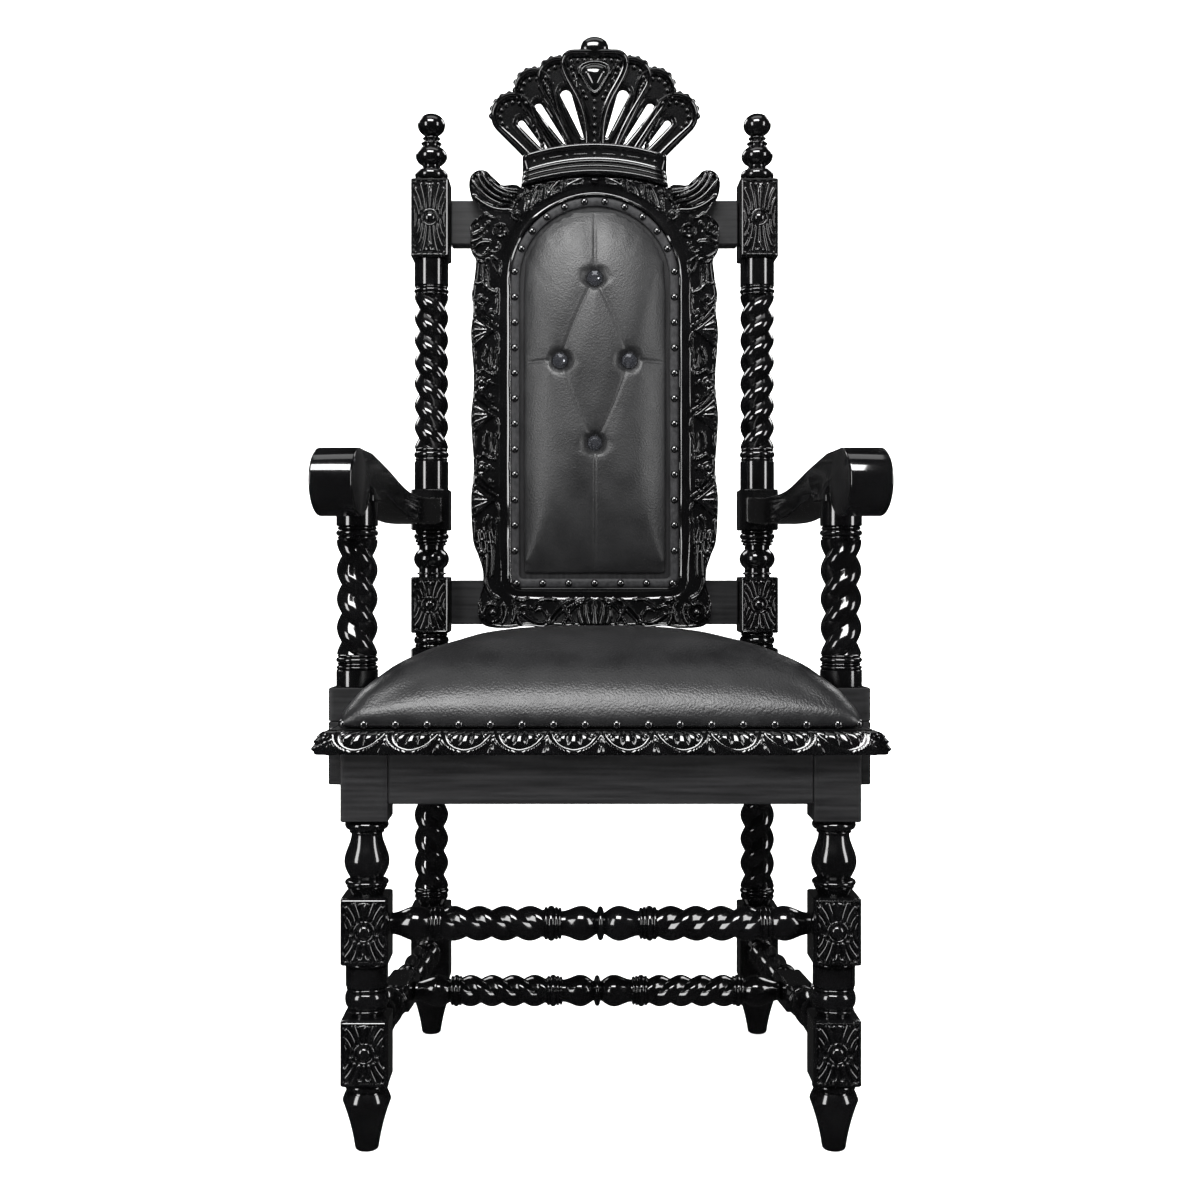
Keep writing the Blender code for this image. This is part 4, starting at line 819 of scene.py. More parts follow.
def inflated(node, name, start_scale, cap, pinned, voxel):
    """A copy of a CAD pad, remeshed, swelled as cloth under pressure and capped.

    A vertex moves at most cap from where it started: p = p0 + (q - p0) * min(1, cap / |q - p0|).
    """
    made = bpy.data.objects.new(name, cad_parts[node].data.copy())
    bpy.context.scene.collection.objects.link(made)
    mesh = made.data
    mesh.materials.clear()
    shape = bmesh.new()
    shape.from_mesh(mesh)
    bmesh.ops.remove_doubles(shape, verts=shape.verts, dist=1e-5)
    shape.to_mesh(mesh)
    shape.free()
    low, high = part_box(node)
    anchor = np.array(middle(node), np.float32)
    if pinned == "below":
        anchor[2] = low[2]
    points = anchor + (places(mesh) - anchor) * np.array(start_scale, np.float32)
    mesh.vertices.foreach_set("co", points.ravel())
    bpy.context.view_layer.objects.active = made
    remesh = made.modifiers.new("remesh", "REMESH")
    remesh.mode = "VOXEL"
    remesh.voxel_size = voxel
    with bpy.context.temp_override(object=made, active_object=made):
        bpy.ops.object.modifier_apply(modifier="remesh")
    mesh = made.data
    start = places(mesh)
    held = start[:, 2] < low[2] + EDGE_HELD if pinned == "below" else start[:, 1] > high[1] - BACK_HELD
    group = made.vertex_groups.new(name="tacked")
    group.add(np.nonzero(held)[0].tolist(), 1.0, "REPLACE")
    cloth = made.modifiers.new("cloth", "CLOTH")
    cloth.settings.vertex_group_mass = "tacked"
    cloth.settings.use_pressure = True
    cloth.settings.uniform_pressure_force = 4
    cloth.settings.effector_weights.gravity = 0
    cloth.collision_settings.use_collision = False
    cloth.point_cache.frame_start, cloth.point_cache.frame_end = 1, 20
    for step in range(1, 21):
        bpy.context.scene.frame_set(step)
    moved = places(made.evaluated_get(bpy.context.evaluated_depsgraph_get()).data)
    made.modifiers.remove(cloth)
    bpy.context.scene.frame_set(1)
    travel = moved - start
    size = np.maximum(np.linalg.norm(travel, axis=1), 1e-9)[:, None]
    start = start + travel * np.minimum(1, cap / size)
    mesh.vertices.foreach_set("co", start.ravel())
    mesh.update()
    return made


def relaxed(made, rounds, levels=1):
    """Evens out the voxel steps: each round moves every vertex to the mean of its neighbours."""
    smooth = made.modifiers.new("relax", "SMOOTH")
    smooth.factor = 0.5
    smooth.iterations = rounds
    finer = made.modifiers.new("finer", "SUBSURF")
    finer.levels = finer.render_levels = levels
    with bpy.context.temp_override(object=made, active_object=made):
        bpy.ops.object.modifier_apply(modifier="relax")
        bpy.ops.object.modifier_apply(modifier="finer")
    made.data.shade_smooth()


cushion = inflated("seat_cushion", "seat_pad", (1.016, 1.018, 0.985), CUSHION_CAP, "below", CUSHION_VOXEL)
relaxed(cushion, 3)
cushion.data.materials.append(leather)
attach(cushion, "root")
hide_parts("seat_cushion")


# Seat nails. Domed black nails 8.8 mm across hold the leather's lower edge, about one every 32 mm
# round the front and the sides. They are pressed steel, lacquered black, and each sits where a line
# from outside meets the leather.
NAIL = 0.0044
NAIL_LEVEL = 0.0052


def dome(place, facing, radius, height, rings=7, around=20):
    """A nail's head: a flattened half ball on a thin rim, closed behind, looking along facing."""
    bow = np.linspace(0, np.pi / 2, rings)
    r = np.concatenate([[0, radius * 0.9], radius * np.cos(bow)])
    h = np.concatenate([[-0.001, -0.001], height * np.sin(bow)])
    turn = 2 * np.pi * np.arange(around) / around
    points = np.stack(np.broadcast_arrays(
        r[:, None] * np.cos(turn), r[:, None] * np.sin(turn), h[:, None]), -1)
    matrix = Matrix.Translation(place) @ Vector(facing).to_track_quat("Z", "Y").to_matrix().to_4x4()
    return placed(skin(points), matrix)


# The lacquer on pressed steel is only slightly clouded.
nail_black = finish(
    "nail_black",
    surface("lacquered steel", (300, 3), (700, 2), 0.00005,
            (0.003, 0.003, 0.0033, 1), (0.006, 0.006, 0.0066, 1), 0.12, 0.08, 0.2),
    Metallic=0.20, Coat_Weight=1.0, Coat_Roughness=0.05,
)
_, front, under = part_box("seat_cushion")[0]
level = under + NAIL_LEVEL
spots = [(Vector((x, front, level)), Vector((0, -1, 0))) for x in np.linspace(-0.2420, 0.2420, 16)]
for side in (-1, 1):
    spots.append((Vector((side * 0.2690, front + 0.0050, level)), Vector((side * 0.67, -0.74, 0))))
    for y in (*np.linspace(-0.1850, -0.1600, 2), *np.linspace(-0.0760, 0.1600, 8)):
        spots.append((Vector((side * edge_x(y, 0), y, level)), Vector((side, 0.07, 0)).normalized()))
heads = []
for spot, facing in spots:
    met, place, *_ = cushion.ray_cast(spot + facing * 0.04, -facing)
    heads.append(dome(place if met else spot, facing + Vector((0, 0, 0.12)), NAIL, 0.0030))
piece("seat_nails", heads, nail_black, sharp=0)


# Carved frame. One thick board pierced for the pad and carved all over: acanthus scrolls at the top
# corners, rosettes, shells down the stiles, volutes and a palmette below. Lacquered.
OPENING_HALF = 0.1088
OPENING_CORNER = 0.017
STEP_WIDTH = 0.0125
PANEL_PLAY = 0.0006
_, frame_back, frame_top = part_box("back_frame")[1]
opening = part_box("back_panel")[0][2] - PANEL_PLAY
arch_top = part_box("back_panel")[1][2] + PANEL_PLAY
spring = arch_top - OPENING_HALF
crest = frame_top - 0.009


def opening_line(t, inset=0.0):
    """Right half of the opening's outline: t is 0 to 1 along the bottom, 2 above the corner, 3 at the
    spring of the arch and 4 at its top. A part t of the corner or arch is the angle 90 t degrees."""
    half, corner = OPENING_HALF - inset, max(OPENING_CORNER - inset, 0.004)
    low = opening + inset
    turn = np.radians(90 * (np.clip(t, 1, 2) - 1) - 90)
    rise = np.radians(90 * (np.clip(t, 3, 4) - 3))
    x = np.where(t < 1, (half - corner) * t, half - corner + corner * np.cos(turn))
    x = np.where(t > 3, half * np.cos(rise), x)
    upright = low + corner + (spring - low - corner) * (t - 2)
    z = np.where(t < 2, low + corner + corner * np.sin(turn), upright)
    z = np.where(t > 3, spring + half * np.sin(rise), z)
    return np.stack([x, z], 1)


def whole_loop(points):
    """A closed outline, or a loop of columns, from its right half: bottom middle to top middle."""
    return np.concatenate([points, (points[1:-1] * ([-1] + [1] * (points.shape[-1] - 1)))[::-1]])


def walk(line):
    """The length walked along a line up to each of its points."""
    return np.concatenate([[0], np.cumsum(np.hypot(*np.diff(line, axis=0).T))])


CREST_FALL = 0.0153
BASE_HALF = 0.0955


def crest_line(x):
    """Level of the frame's top edge: a shallow parabola that falls away from the middle."""
    return crest - CREST_FALL * (x / BASE_HALF) ** 2


# Each row is t along the opening, then X and Z of the frame's outline there.
edge_of_frame = smoothed([
    (0.00, 0, 0.5258), (0.12, 0.012, 0.5256), (0.22, 0.024, 0.5275), (0.34, 0.036, 0.5262),
    (0.45, 0.048, 0.5280), (0.60, 0.068, 0.5270), (0.75, 0.088, 0.5288), (0.90, 0.108, 0.5260),
    (1.15, 0.126, 0.5260), (1.40, 0.141, 0.5290), (1.70, 0.149, 0.5380), (1.95, 0.1505, 0.5520),
    (2.00, 0.148, 0.5660), (2.03, 0.144, 0.5800), (2.07, 0.144, 0.6000), (2.11, 0.150, 0.6200),
    (2.16, 0.1565, 0.6400), (2.25, 0.1590, 0.6903), (2.33, 0.1562, 0.7200), (2.40, 0.1560, 0.7450),
    (2.47, 0.1578, 0.7700), (2.542, 0.1590, 0.7994), (2.62, 0.1562, 0.8290), (2.69, 0.1558, 0.8550),
    (2.76, 0.1578, 0.8820), (2.83, 0.1590, 0.9083), (2.90, 0.1562, 0.9350), (2.955, 0.1580, 0.9550),
    (3.00, 0.1545, 0.9780), (3.04, 0.1530, 1.0000), (3.09, 0.1590, 1.0120), (3.15, 0.1602, 1.0300),
    (3.20, 0.1598, 1.0440), (3.25, 0.1500, 1.0545), (3.28, 0.1440, 1.0585), (3.32, 0.1500, 1.0680),
    (3.37, 0.1590, 1.0820), (3.42, 0.1615, 1.0980), (3.46, 0.1585, 1.1090), (3.49, 0.1490, 1.1145),
    (3.52, 0.1395, 1.1130), (3.545, 0.1335, 1.1050), (3.57, 0.1280, 1.0980), (3.61, 0.1180, 1.0945),
    (3.65, 0.1080, 1.0955), (3.68, 0.1000, 1.0945), (3.70, 0.0955, 1.0910), (3.78, 0.072, 1.0975),
    (3.86, 0.048, 1.1024), (3.93, 0.024, 1.1053), (4.00, 0, 1.10605),
], 24)
walked = walk(edge_of_frame[:, 1:])
evenly = np.linspace(0, walked[-1], 800)
t, outer_x, outer_z = (np.interp(evenly, walked, column) for column in edge_of_frame.T)
inner = opening_line(t)
outer = np.stack([outer_x, outer_z], 1)
across = np.concatenate([[0, 0], np.linspace(0, 1, 43), [1]])
place = inner[:, None] + (outer - inner)[:, None] * across[None, :, None]
p, q = place[..., 0], place[..., 1]
width = np.hypot(*(outer - inner).T)[:, None]
from_inner, from_outer = across * width, (1 - across) * width


def leaf(start, bend, end, first=1.4, last=1.4, high=4.5):
    """One carved stroke on the right half of the frame, its widths and height given in millimetres.

    All strokes are cut 1.35 times as wide and 0.75 times as high as their numbers.
    """
    return stroke(p, q, start, bend, end, (first * 0.00135, last * 0.00135), high * 0.00075)


carving = [
    leaf((0.1106, 1.0629), (0.1322, 1.0600), (0.1530, 1.0790), 2.4, 1.8, 5.0),
    leaf((0.1090, 1.0690), (0.1360, 1.0690), (0.1545, 1.0980), 1.4, 2.6, 7.0),
    leaf((0.1083, 1.0749), (0.1380, 1.0770), (0.1485, 1.1065), 1.4, 2.7, 8.0),
    leaf((0.1037, 1.0795), (0.1320, 1.0830), (0.1420, 1.1080), 1.4, 2.7, 8.0),
    leaf((0.0992, 1.0841), (0.1220, 1.0850), (0.1330, 1.1000), 1.4, 2.4, 7.0),
    leaf((0.0992, 1.0880), (0.1120, 1.0880), (0.1210, 1.0920), 1.2, 2.0, 5.5),
    leaf((0.1590, 1.1000), (0.1560, 1.1135), (0.1455, 1.1115), 2.6, 2.4, 6.5),
    leaf((0.1455, 1.1115), (0.1385, 1.1100), (0.1370, 1.1030), 2.4, 1.6, 6.0),
    disc(p, q, (0.0990, 1.0575), 0.0050, 0.0070),
    leaf((0.0843, 1.0857), (0.1080, 1.0740), (0.1062, 1.0570), 1.4, 2.0, 6.0),
    leaf((0.1062, 1.0570), (0.1040, 1.0480), (0.0960, 1.0500), 2.0, 1.2, 5.5),
    leaf((0.1590, 1.0360), (0.1605, 1.0490), (0.1494, 1.0510)),
    leaf((0.1494, 1.0510), (0.1440, 1.0560), (0.1380, 1.0570)),
    leaf((0.1380, 1.0570), (0.1320, 1.0490), (0.1220, 1.0540)),
    disc(p, q, (0.1205, 1.0365), 0.0016, 0.0048, 0.0080),
    leaf((0.1250, 1.0340), (0.1210, 1.0400), (0.1160, 1.0430), 1.6, 1.0, 4.5),
    disc(p, q, (0.1500, 1.0430), 0.0036, 0.0050), disc(p, q, (0.1365, 1.0450), 0.0032, 0.0050),
    leaf((0.1570, 1.0220), (0.1480, 1.0230), (0.1400, 1.0340), 2.4, 1.2, 5.5),
    leaf((0.1560, 1.0300), (0.1470, 1.0330), (0.1420, 1.0390), 1.8, 1.0),
    leaf((0.1545, 1.0130), (0.1480, 1.0230), (0.1350, 1.0210), 1.6, 2.2, 5.0),
    leaf((0.1545, 1.0085), (0.1449, 0.9955), (0.1346, 1.0118), 1.7, 1.4, 5.0),
    leaf((0.1500, 0.9995), (0.1440, 0.9915), (0.1365, 0.9990), 1.2, 1.2),
    leaf((0.1335, 1.0094), (0.1235, 1.0040), (0.1216, 1.0198)),
    leaf((0.1312, 1.0018), (0.1160, 0.9980), (0.1209, 0.9789), 1.2, 1.4),
    leaf((0.1312, 1.0018), (0.1310, 0.9900), (0.1209, 0.9789), 1.2, 1.4),
    leaf((0.1430, 0.9930), (0.1450, 0.9800), (0.1405, 0.9700), 1.2, 2.2),
    leaf((0.1370, 0.9900), (0.1365, 0.9780), (0.1375, 0.9640), 1.0, 1.8),
    leaf((0.1437, 0.9710), (0.1380, 0.9590), (0.1278, 0.9572), 1.2, 2.2, 5.2),
    leaf((0.1560, 0.9760), (0.1530, 0.9650), (0.1460, 0.9690), 1.2, 1.8),
    disc(p, q, (0.1449, 0.9500), 0.0046, 0.0055), leaf((0.1545, 0.9500), (0.1455, 0.9330), (0.1365, 0.9470)),
    leaf((0.1250, 0.9600), (0.1235, 0.9450), (0.1255, 0.9300), high=3.0),
    disc(p, q, (0.1305, 0.5465), 0.0064, 0.0078), disc(p, q, (0.1305, 0.5465), 0.0022, 0.0055, 0.0115),
    leaf((0.1470, 0.5880), (0.1530, 0.5620), (0.1440, 0.5400), 1.2, 2.2, 5.0),
    leaf((0.1400, 0.5900), (0.1400, 0.5700), (0.1250, 0.5640), 1.4, 2.2, 5.0),
    leaf((0.1160, 0.5560), (0.1100, 0.5440), (0.1180, 0.5330), 1.8, 1.8),
    leaf((0.1060, 0.5600), (0.0990, 0.5470), (0.1050, 0.5340), 1.2, 1.8),
    leaf((0.0600, 0.5345), (0.0440, 0.5660), (0.0000, 0.5722), 1.8, 1.8, 6.0),
    leaf((0.0545, 0.5335), (0.0400, 0.5580), (0.0000, 0.5665), 1.4, 1.4, 4.5),
    disc(p, q, (0.0590, 0.5355), 0.0034, 0.0060),
    leaf((0.0405, 0.5291), (0.0290, 0.5560), (0.0160, 0.5590), 1.4, 1.2),
    leaf((0.0000, 0.5320), (0.0000, 0.5460), (0.0000, 0.5610), 3.6, 1.2, 6.5),
    leaf((0.0085, 0.5325), (0.0120, 0.5460), (0.0110, 0.5590), 3.4, 1.2, 6.0),
    leaf((0.0170, 0.5330), (0.0210, 0.5440), (0.0190, 0.5540), 3.0, 1.0, 5.0),
    leaf((0.0270, 0.5310), (0.0350, 0.5440), (0.0410, 0.5560), 1.0, 3.4, 5.0),
    leaf((0.0500, 0.5620), (0.0680, 0.5680), (0.0800, 0.5520), 1.2, 2.0, 5.0),
    leaf((0.0620, 0.5430), (0.0680, 0.5560), (0.0760, 0.5480), 1.8, 1.4),
    leaf((0.0660, 0.5330), (0.0780, 0.5320), (0.0900, 0.5440), 1.2, 2.6, 5.0),
    leaf((0.0860, 0.5660), (0.0900, 0.5580), (0.1010, 0.5640), 1.6, 1.6),
    leaf((0.0840, 0.5520), (0.0900, 0.5580), (0.0960, 0.5520), 1.4, 2.0),
    leaf((0.0950, 0.5320), (0.1000, 0.5380), (0.0970, 0.5460), 2.0, 1.2),
]
for bend in (0.1475, 0.1400, 0.1330):
    carving.append(leaf((bend + 0.001, 0.6480), (bend - 0.004, 0.6200), (bend - 0.001, 0.5930),
                        2.6, 1.4, 5.0))
for apex in (0.9083, 0.7994, 0.6903):
    for rise, wide in ((0.0180, 2.6), (0.0095, 3.0), (0.0, 3.2), (-0.0095, 3.0), (-0.0180, 2.6)):
        carving.append(leaf((0.1290, apex), (0.1400, apex + rise * 0.3), (0.1530, apex + rise),
                            0.9, wide, 6.2))
    carving += [
        leaf((0.1260, apex + 0.006), (0.1400, apex + 0.012), (0.1520, apex + 0.029), 0.9, 1.8),
        leaf((0.1300, apex + 0.016), (0.1400, apex + 0.020), (0.1470, apex + 0.034), 0.9, 1.6),
        disc(p, q, (0.1330, apex + 0.0240), 0.0028, 0.0050),
        leaf((0.1270, apex - 0.004), (0.1205, apex - 0.018), (0.1270, apex - 0.030), high=4.5),
        leaf((0.1270, apex - 0.030), (0.1265, apex - 0.045), (0.1280, apex - 0.057), high=4.5),
        leaf((0.1280, apex - 0.057), (0.1360, apex - 0.056), (0.1430, apex - 0.050), high=4.5),
        leaf((0.1430, apex - 0.050), (0.1480, apex - 0.058), (0.1540, apex - 0.052), high=4.5),
        leaf((0.1540, apex - 0.052), (0.1555, apex - 0.040), (0.1545, apex - 0.028), 1.2, 2.0),
        leaf((0.1380, apex - 0.022), (0.1440, apex - 0.034), (0.1400, apex - 0.044), 2.0, 1.0, 5.0),
        leaf((0.1330, apex - 0.024), (0.1340, apex - 0.038), (0.1310, apex - 0.048), 1.2, 2.2, 5.0),
        disc(p, q, (0.1450, apex - 0.0670), 0.0062, 0.0062),
        leaf((0.1560, apex - 0.062), (0.1480, apex - 0.086), (0.1350, apex - 0.066), 1.3, 1.3, 4.0),
        disc(p, q, (0.1300, apex - 0.0690), 0.0018, 0.0040),
    ]
for near, far in ((0.015, 0.036), (0.042, 0.062), (0.068, 0.088)):
    lift = 0.4 * (near - 0.015)
    corners = [(x, float(crest_line(x)) - drop) for x, drop in (
        (near, 0.0030), (far, 0.0030), (far - 0.002, 0.0105 + lift), (near + 0.003, 0.0095 + lift * 0.6),
    )]
    for a, b in zip(corners, corners[1:] + corners[:1]):
        half_way = ((a[0] + b[0]) / 2, (a[1] + b[1]) / 2)
        carving.append(leaf(a, half_way, b, 1.0, 1.0, 3.2))
    bend = ((near + far) / 2, corners[0][1] - 0.003)
    carving.append(leaf(corners[0], bend, corners[2], 1.2, 2.6, 3.4))
# A small gem points down from the middle of the top edge.
gem = np.minimum(1.1040 - q, (q - 1.0905 - p * 1.35) * 0.6)
carving.append(0.0065 * np.clip(gem / 0.0030, 0, 1))
relief = np.maximum.reduce(carving)
# The board's thickness: a bead on the opening's step, then the carved face, its rim and its round edge.
on_step = np.clip((from_inner - STEP_WIDTH) / 0.0025, 0, 1)
thick = 0.0180 + 0.0012 * np.exp(-((from_inner - 0.0015) / 0.0012) ** 2)
thick = thick + on_step * (0.0012 + relief * np.clip(from_outer / 0.0012, 0, 1))
thick = thick + 0.0030 * np.exp(-((from_outer - 0.0016) / 0.0015) ** 2) * (relief < 0.001) * on_step
thick = thick - 0.0060 * (1 - np.sqrt(np.clip(1 - (1 - np.clip(from_outer / 0.0022, 0, 1)) ** 2, 0, 1)))
y = frame_back - thick
y[:, [0, -1]] = frame_back
board = skin(whole_loop(np.stack([p, y, q], -1)), along=True)
piece("carved_frame", [board], lacquer, ["back_frame"], sharp=50)


# Band. A strip of charcoal leather 12 mm wide folded over piping, nailed round the opening over the
# edge of the pad with forty-one domed black nails, 10 mm across.
BAND_EDGE = 0.0006
BAND_WIDTH = 0.0114
BAND_FOLD = 0.0020
BAND_NAIL = 0.0050
NAIL_LINE = OPENING_HALF - 0.0062
# Its grain is finer and flatter than the seat's, and rubbed lighter.
band_leather = finish(
    "band_leather",
    surface("band grain", (160, 5), (1100, 4), 0.0003,
            (0.010, 0.010, 0.0106, 1), (0.024, 0.024, 0.0252, 1), 0.46, 0.10, 0.5),
    Specular_IOR_Level=0.14,
)
band_low, band_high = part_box("back_band")
t = np.concatenate([
    np.linspace(0, 1, 60), np.linspace(1, 2, 14)[1:], np.linspace(2, 3, 150)[1:], np.linspace(3, 4, 80)[1:],
])
share = np.linspace(0, 1, 13)
bow = np.sqrt(np.clip(1 - (2 * share - 1) ** 2, 0, 1))
# Columns across the strip: behind on the pad's side, over the bowed face, behind on the frame's side.
insets = BAND_EDGE + BAND_WIDTH * np.array([1, *(1 - share), 0])
depths = [band_high[1], *(band_low[1] + BAND_FOLD * (1 - bow)), band_high[1]]
half = []
for inset, y in zip(insets, depths):
    x, z = opening_line(t, inset).T
    half.append(np.column_stack([x, np.full(len(t), y), z]))
strip = skin(whole_loop(np.stack(half, 1)), along=True)
piece("leather_band", [strip], band_leather, ["back_band"])

spots = [(x, opening + 0.0062) for x in np.linspace(-0.1000, 0.1000, 7)]
for z in np.linspace(0.6258, 0.9844, 12):
    spots += [(-NAIL_LINE, z), (NAIL_LINE, z)]
for turn in np.radians(np.linspace(23.8, 156.2, 10)):
    spots.append((NAIL_LINE * math.cos(turn), spring + NAIL_LINE * math.sin(turn)))
heads = [dome((x, band_low[1] + 0.0004, z), (0, -1, 0), BAND_NAIL, 0.0038) for x, z in spots]
piece("band_nails", heads, nail_black, sharp=0)


# Back pad. Foam under the same black leather as the seat, tufted at four points; plain sewn seams
# run between them and out to the band. Swelled as cloth first, then drawn in at seams and tufts.
PAD_CAP = 0.0040
PAD_VOXEL = 0.0068
TUFTS = ("top", "left", "right", "bottom")
tufts = [middle(f"button_{word}") for word in TUFTS]
pad = inflated("back_pad", "tufted_pad", (0.998, 0.99, 0.999), PAD_CAP, "behind", PAD_VOXEL)
relaxed(pad, 2, 2)
points = places(pad.data)
x, z = points[:, 0].astype(float), points[:, 2].astype(float)
top, left, right, bottom = ((tuft[0], tuft[2]) for tuft in tufts)
pad_low, pad_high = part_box("back_pad")
# Each seam has two ends and how far it bows sideways in its middle.
seams = [
    ((0, pad_high[2]), top, 0.0), (top, left, 0.003), (top, right, -0.003),
    (left, bottom, 0.003), (right, bottom, -0.003),
    (left, (pad_low[0], left[1] - 0.002), 0.001), (right, (pad_high[0], right[1] - 0.002), -0.001),
    (bottom, (0, pad_low[2]), 0.0),
]
drawn = np.zeros(len(x))
for a, b, bow in seams:
    a, b = np.array(a), np.array(b)
    run = b - a
    length = float(np.hypot(*run))
    share = ((x - a[0]) * run[0] + (z - a[1]) * run[1]) / length ** 2
    side = ((x - a[0]) * run[1] - (z - a[1]) * run[0]) / length - bow * 4 * share * (1 - share)
    along = np.clip(share, 0, 1)
    gap = np.hypot(side, (share - along) * length)
    drawn = np.maximum(drawn, 0.0016 * np.exp(-(gap / 0.0016) ** 2) + 0.0020 * np.exp(-(gap / 0.014) ** 2))
for tuft in tufts:
    gap = np.hypot(x - tuft[0], z - tuft[2])
    turn = np.arctan2(z - tuft[2], x - tuft[0])
    folds = 0.00016 * (np.cos(7 * turn + 0.6) + np.cos(4 * turn)) * np.exp(-((gap - 0.017) / 0.007) ** 2)
    drawn = np.maximum(drawn, 0.0105 * np.exp(-(gap / 0.0125) ** 2)) + folds
front_share = np.clip((pad_high[1] - points[:, 1]) / 0.016, 0, 1)
points[:, 1] += (drawn * front_share).astype(np.float32)
pad.data.vertices.foreach_set("co", points.ravel())
pad.data.update()
pad.data.materials.append(pad_leather)
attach(pad, "root")
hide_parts("back_pad")


# Crystal buttons. Round cut glass backed with smoke foil, 21 mm across, pulled into the four tufts.
# Sixteen facets round a small table; the faintly clouded foil makes them read as dark, bright stones.
crystal = finish(
    "smoke_crystal",
    surface("smoke foil", (500, 2), (200, 2), 0.00001,
            (0.045, 0.047, 0.055, 1), (0.085, 0.088, 0.100, 1), 0.03, 0.02, 0.1),
    Metallic=0.75, Coat_Weight=1.0, Coat_Roughness=0.02,
)
for word, tuft in zip(TUFTS, tufts):
    low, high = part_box(f"button_{word}")
    radius, depth = (high[0] - low[0]) / 2, high[1] - low[1]
    turn = 2 * np.pi * np.arange(16) / 16
    odd = np.arange(16) % 2
    rings = []
    for ahead, r, wave in (
        (0.0, 0.0, 0), (0.0, 0.90, 0), (0.26, 1.0, 0), (0.36, 1.0, 0), (0.66, 0.84, 0.07),
        (0.90, 0.56, -0.06), (1.0, 0.36, 0.03), (1.0, 0.0, 0),
    ):
        size = radius * (r + wave * odd)
        x, z = tuft[0] + size * np.cos(turn), tuft[2] - size * np.sin(turn)
        rings.append(np.stack([x, np.full(16, high[1] - depth * ahead), z], 1))
    piece(f"crystal_{word}", [skin(np.array(rings))], crystal, [f"button_{word}"], sharp=1)


# Crown. Seven strap loops fanned over an arched, moulded base, cut from one board, with rows of
# beads, two rims round every loop, a heart with a gem in the middle, and a knob. Lacquered.
crown_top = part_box("crown")[1][2]
CROWN_MIDDLE = frame_back - 0.011
CROWN_BACK = CROWN_MIDDLE + 0.009
HIGH = 0.181
WIDE = 0.1344
BASE_HEIGHT = 0.042
KNOB_WIDE = 0.0185
KNOB_HIGH = 0.0145
KNOB_DEEP = 0.0088


def drop_outline(base, base_radius, tip, tip_radius, arc=40, side=30):
    """The outline round two unlike circles, counter-clockwise, as evenly numbered points.

    The straight sides touch both circles: they lean by asin((R - r) / distance).
    """
    base, tip = np.array(base), np.array(tip)
    run = tip - base
    heading = math.atan2(run[1], run[0])
    lean = math.asin((tip_radius - base_radius) / math.hypot(*run))
    tip_turn = heading - (math.pi / 2 + lean) + (math.pi + 2 * lean) * np.linspace(0, 1, arc)
    base_turn = heading + (math.pi / 2 + lean) + (math.pi - 2 * lean) * np.linspace(0, 1, arc // 2)
    tip_arc = tip + tip_radius * np.stack([np.cos(tip_turn), np.sin(tip_turn)], 1)
    base_arc = base + base_radius * np.stack([np.cos(base_turn), np.sin(base_turn)], 1)
    share = np.linspace(0, 1, side + 2)[1:-1, None]
    return np.concatenate([
        tip_arc, tip_arc[-1] + (base_arc[0] - tip_arc[-1]) * share,
        base_arc, base_arc[-1] + (tip_arc[0] - base_arc[-1]) * share,
    ])


# Profiles of the two rims: the distance from the strap's edge, and the height over its front level.
RIM = (
    (0.0, -0.0050), (0.0004, -0.0022), (0.0014, -0.0008), (0.0030, 0.0), (0.0046, -0.0007),
    (0.0056, -0.0024), (0.0061, -0.0044), (0.0066, -0.0026), (0.0075, -0.0014), (0.0085, -0.0016),
    (0.0094, -0.0030), (0.0099, -0.0062),
)
SLOT_RIM = (
    (0.0088, -0.0062), (0.0083, -0.0034), (0.0073, -0.0024), (0.0063, -0.0028), (0.0056, -0.0044),
    (0.0050, -0.0024), (0.0036, -0.0012), (0.0018, -0.0014), (0.0004, -0.0030), (0.0, -0.0050),
)


def beads_along(path, spacing, radius, front, keep=None):
    """Half sunk beads in a row along a path in X and Z, where keep, if given, says yes."""
    path = np.array(path)
    walked = walk(path)
    stops = np.linspace(0, walked[-1], max(2, round(walked[-1] / spacing)))
    row = [[float(np.interp(stop, walked, column)) for column in path.T] for stop in stops]
    row = [(x, z) for x, z in row if keep is None or keep(x, z)]
    return [dome((x, front, z), (0, -1, 0), radius, radius, 4, 10) for x, z in row]


def strap(outer, slot, front, back):
    """A carved strap between its outline and its slot, rims proud of a sunken floor.

    At each point of the outline the rims take their own width, or less where the strap is narrow.
    """
    gap = np.hypot(*(slot - outer).T)
    rows = [(np.zeros(len(outer)), back)]
    for distance, drop in RIM:
        rows.append((np.minimum(distance / gap, distance / 0.0200), front - drop))
    for distance, drop in SLOT_RIM:
        rows.append((1 - np.minimum(distance / gap, distance / 0.0180), front - drop))
    rows.append((np.ones(len(outer)), back))
    grid = []
    for share, y in rows:
        line = outer + (slot - outer) * share[:, None]
        grid.append(np.stack([line[:, 0], np.full(len(line), y), line[:, 1]], 1))
    return skin(np.array(grid).transpose(1, 0, 2)[:, ::-1], along=True)


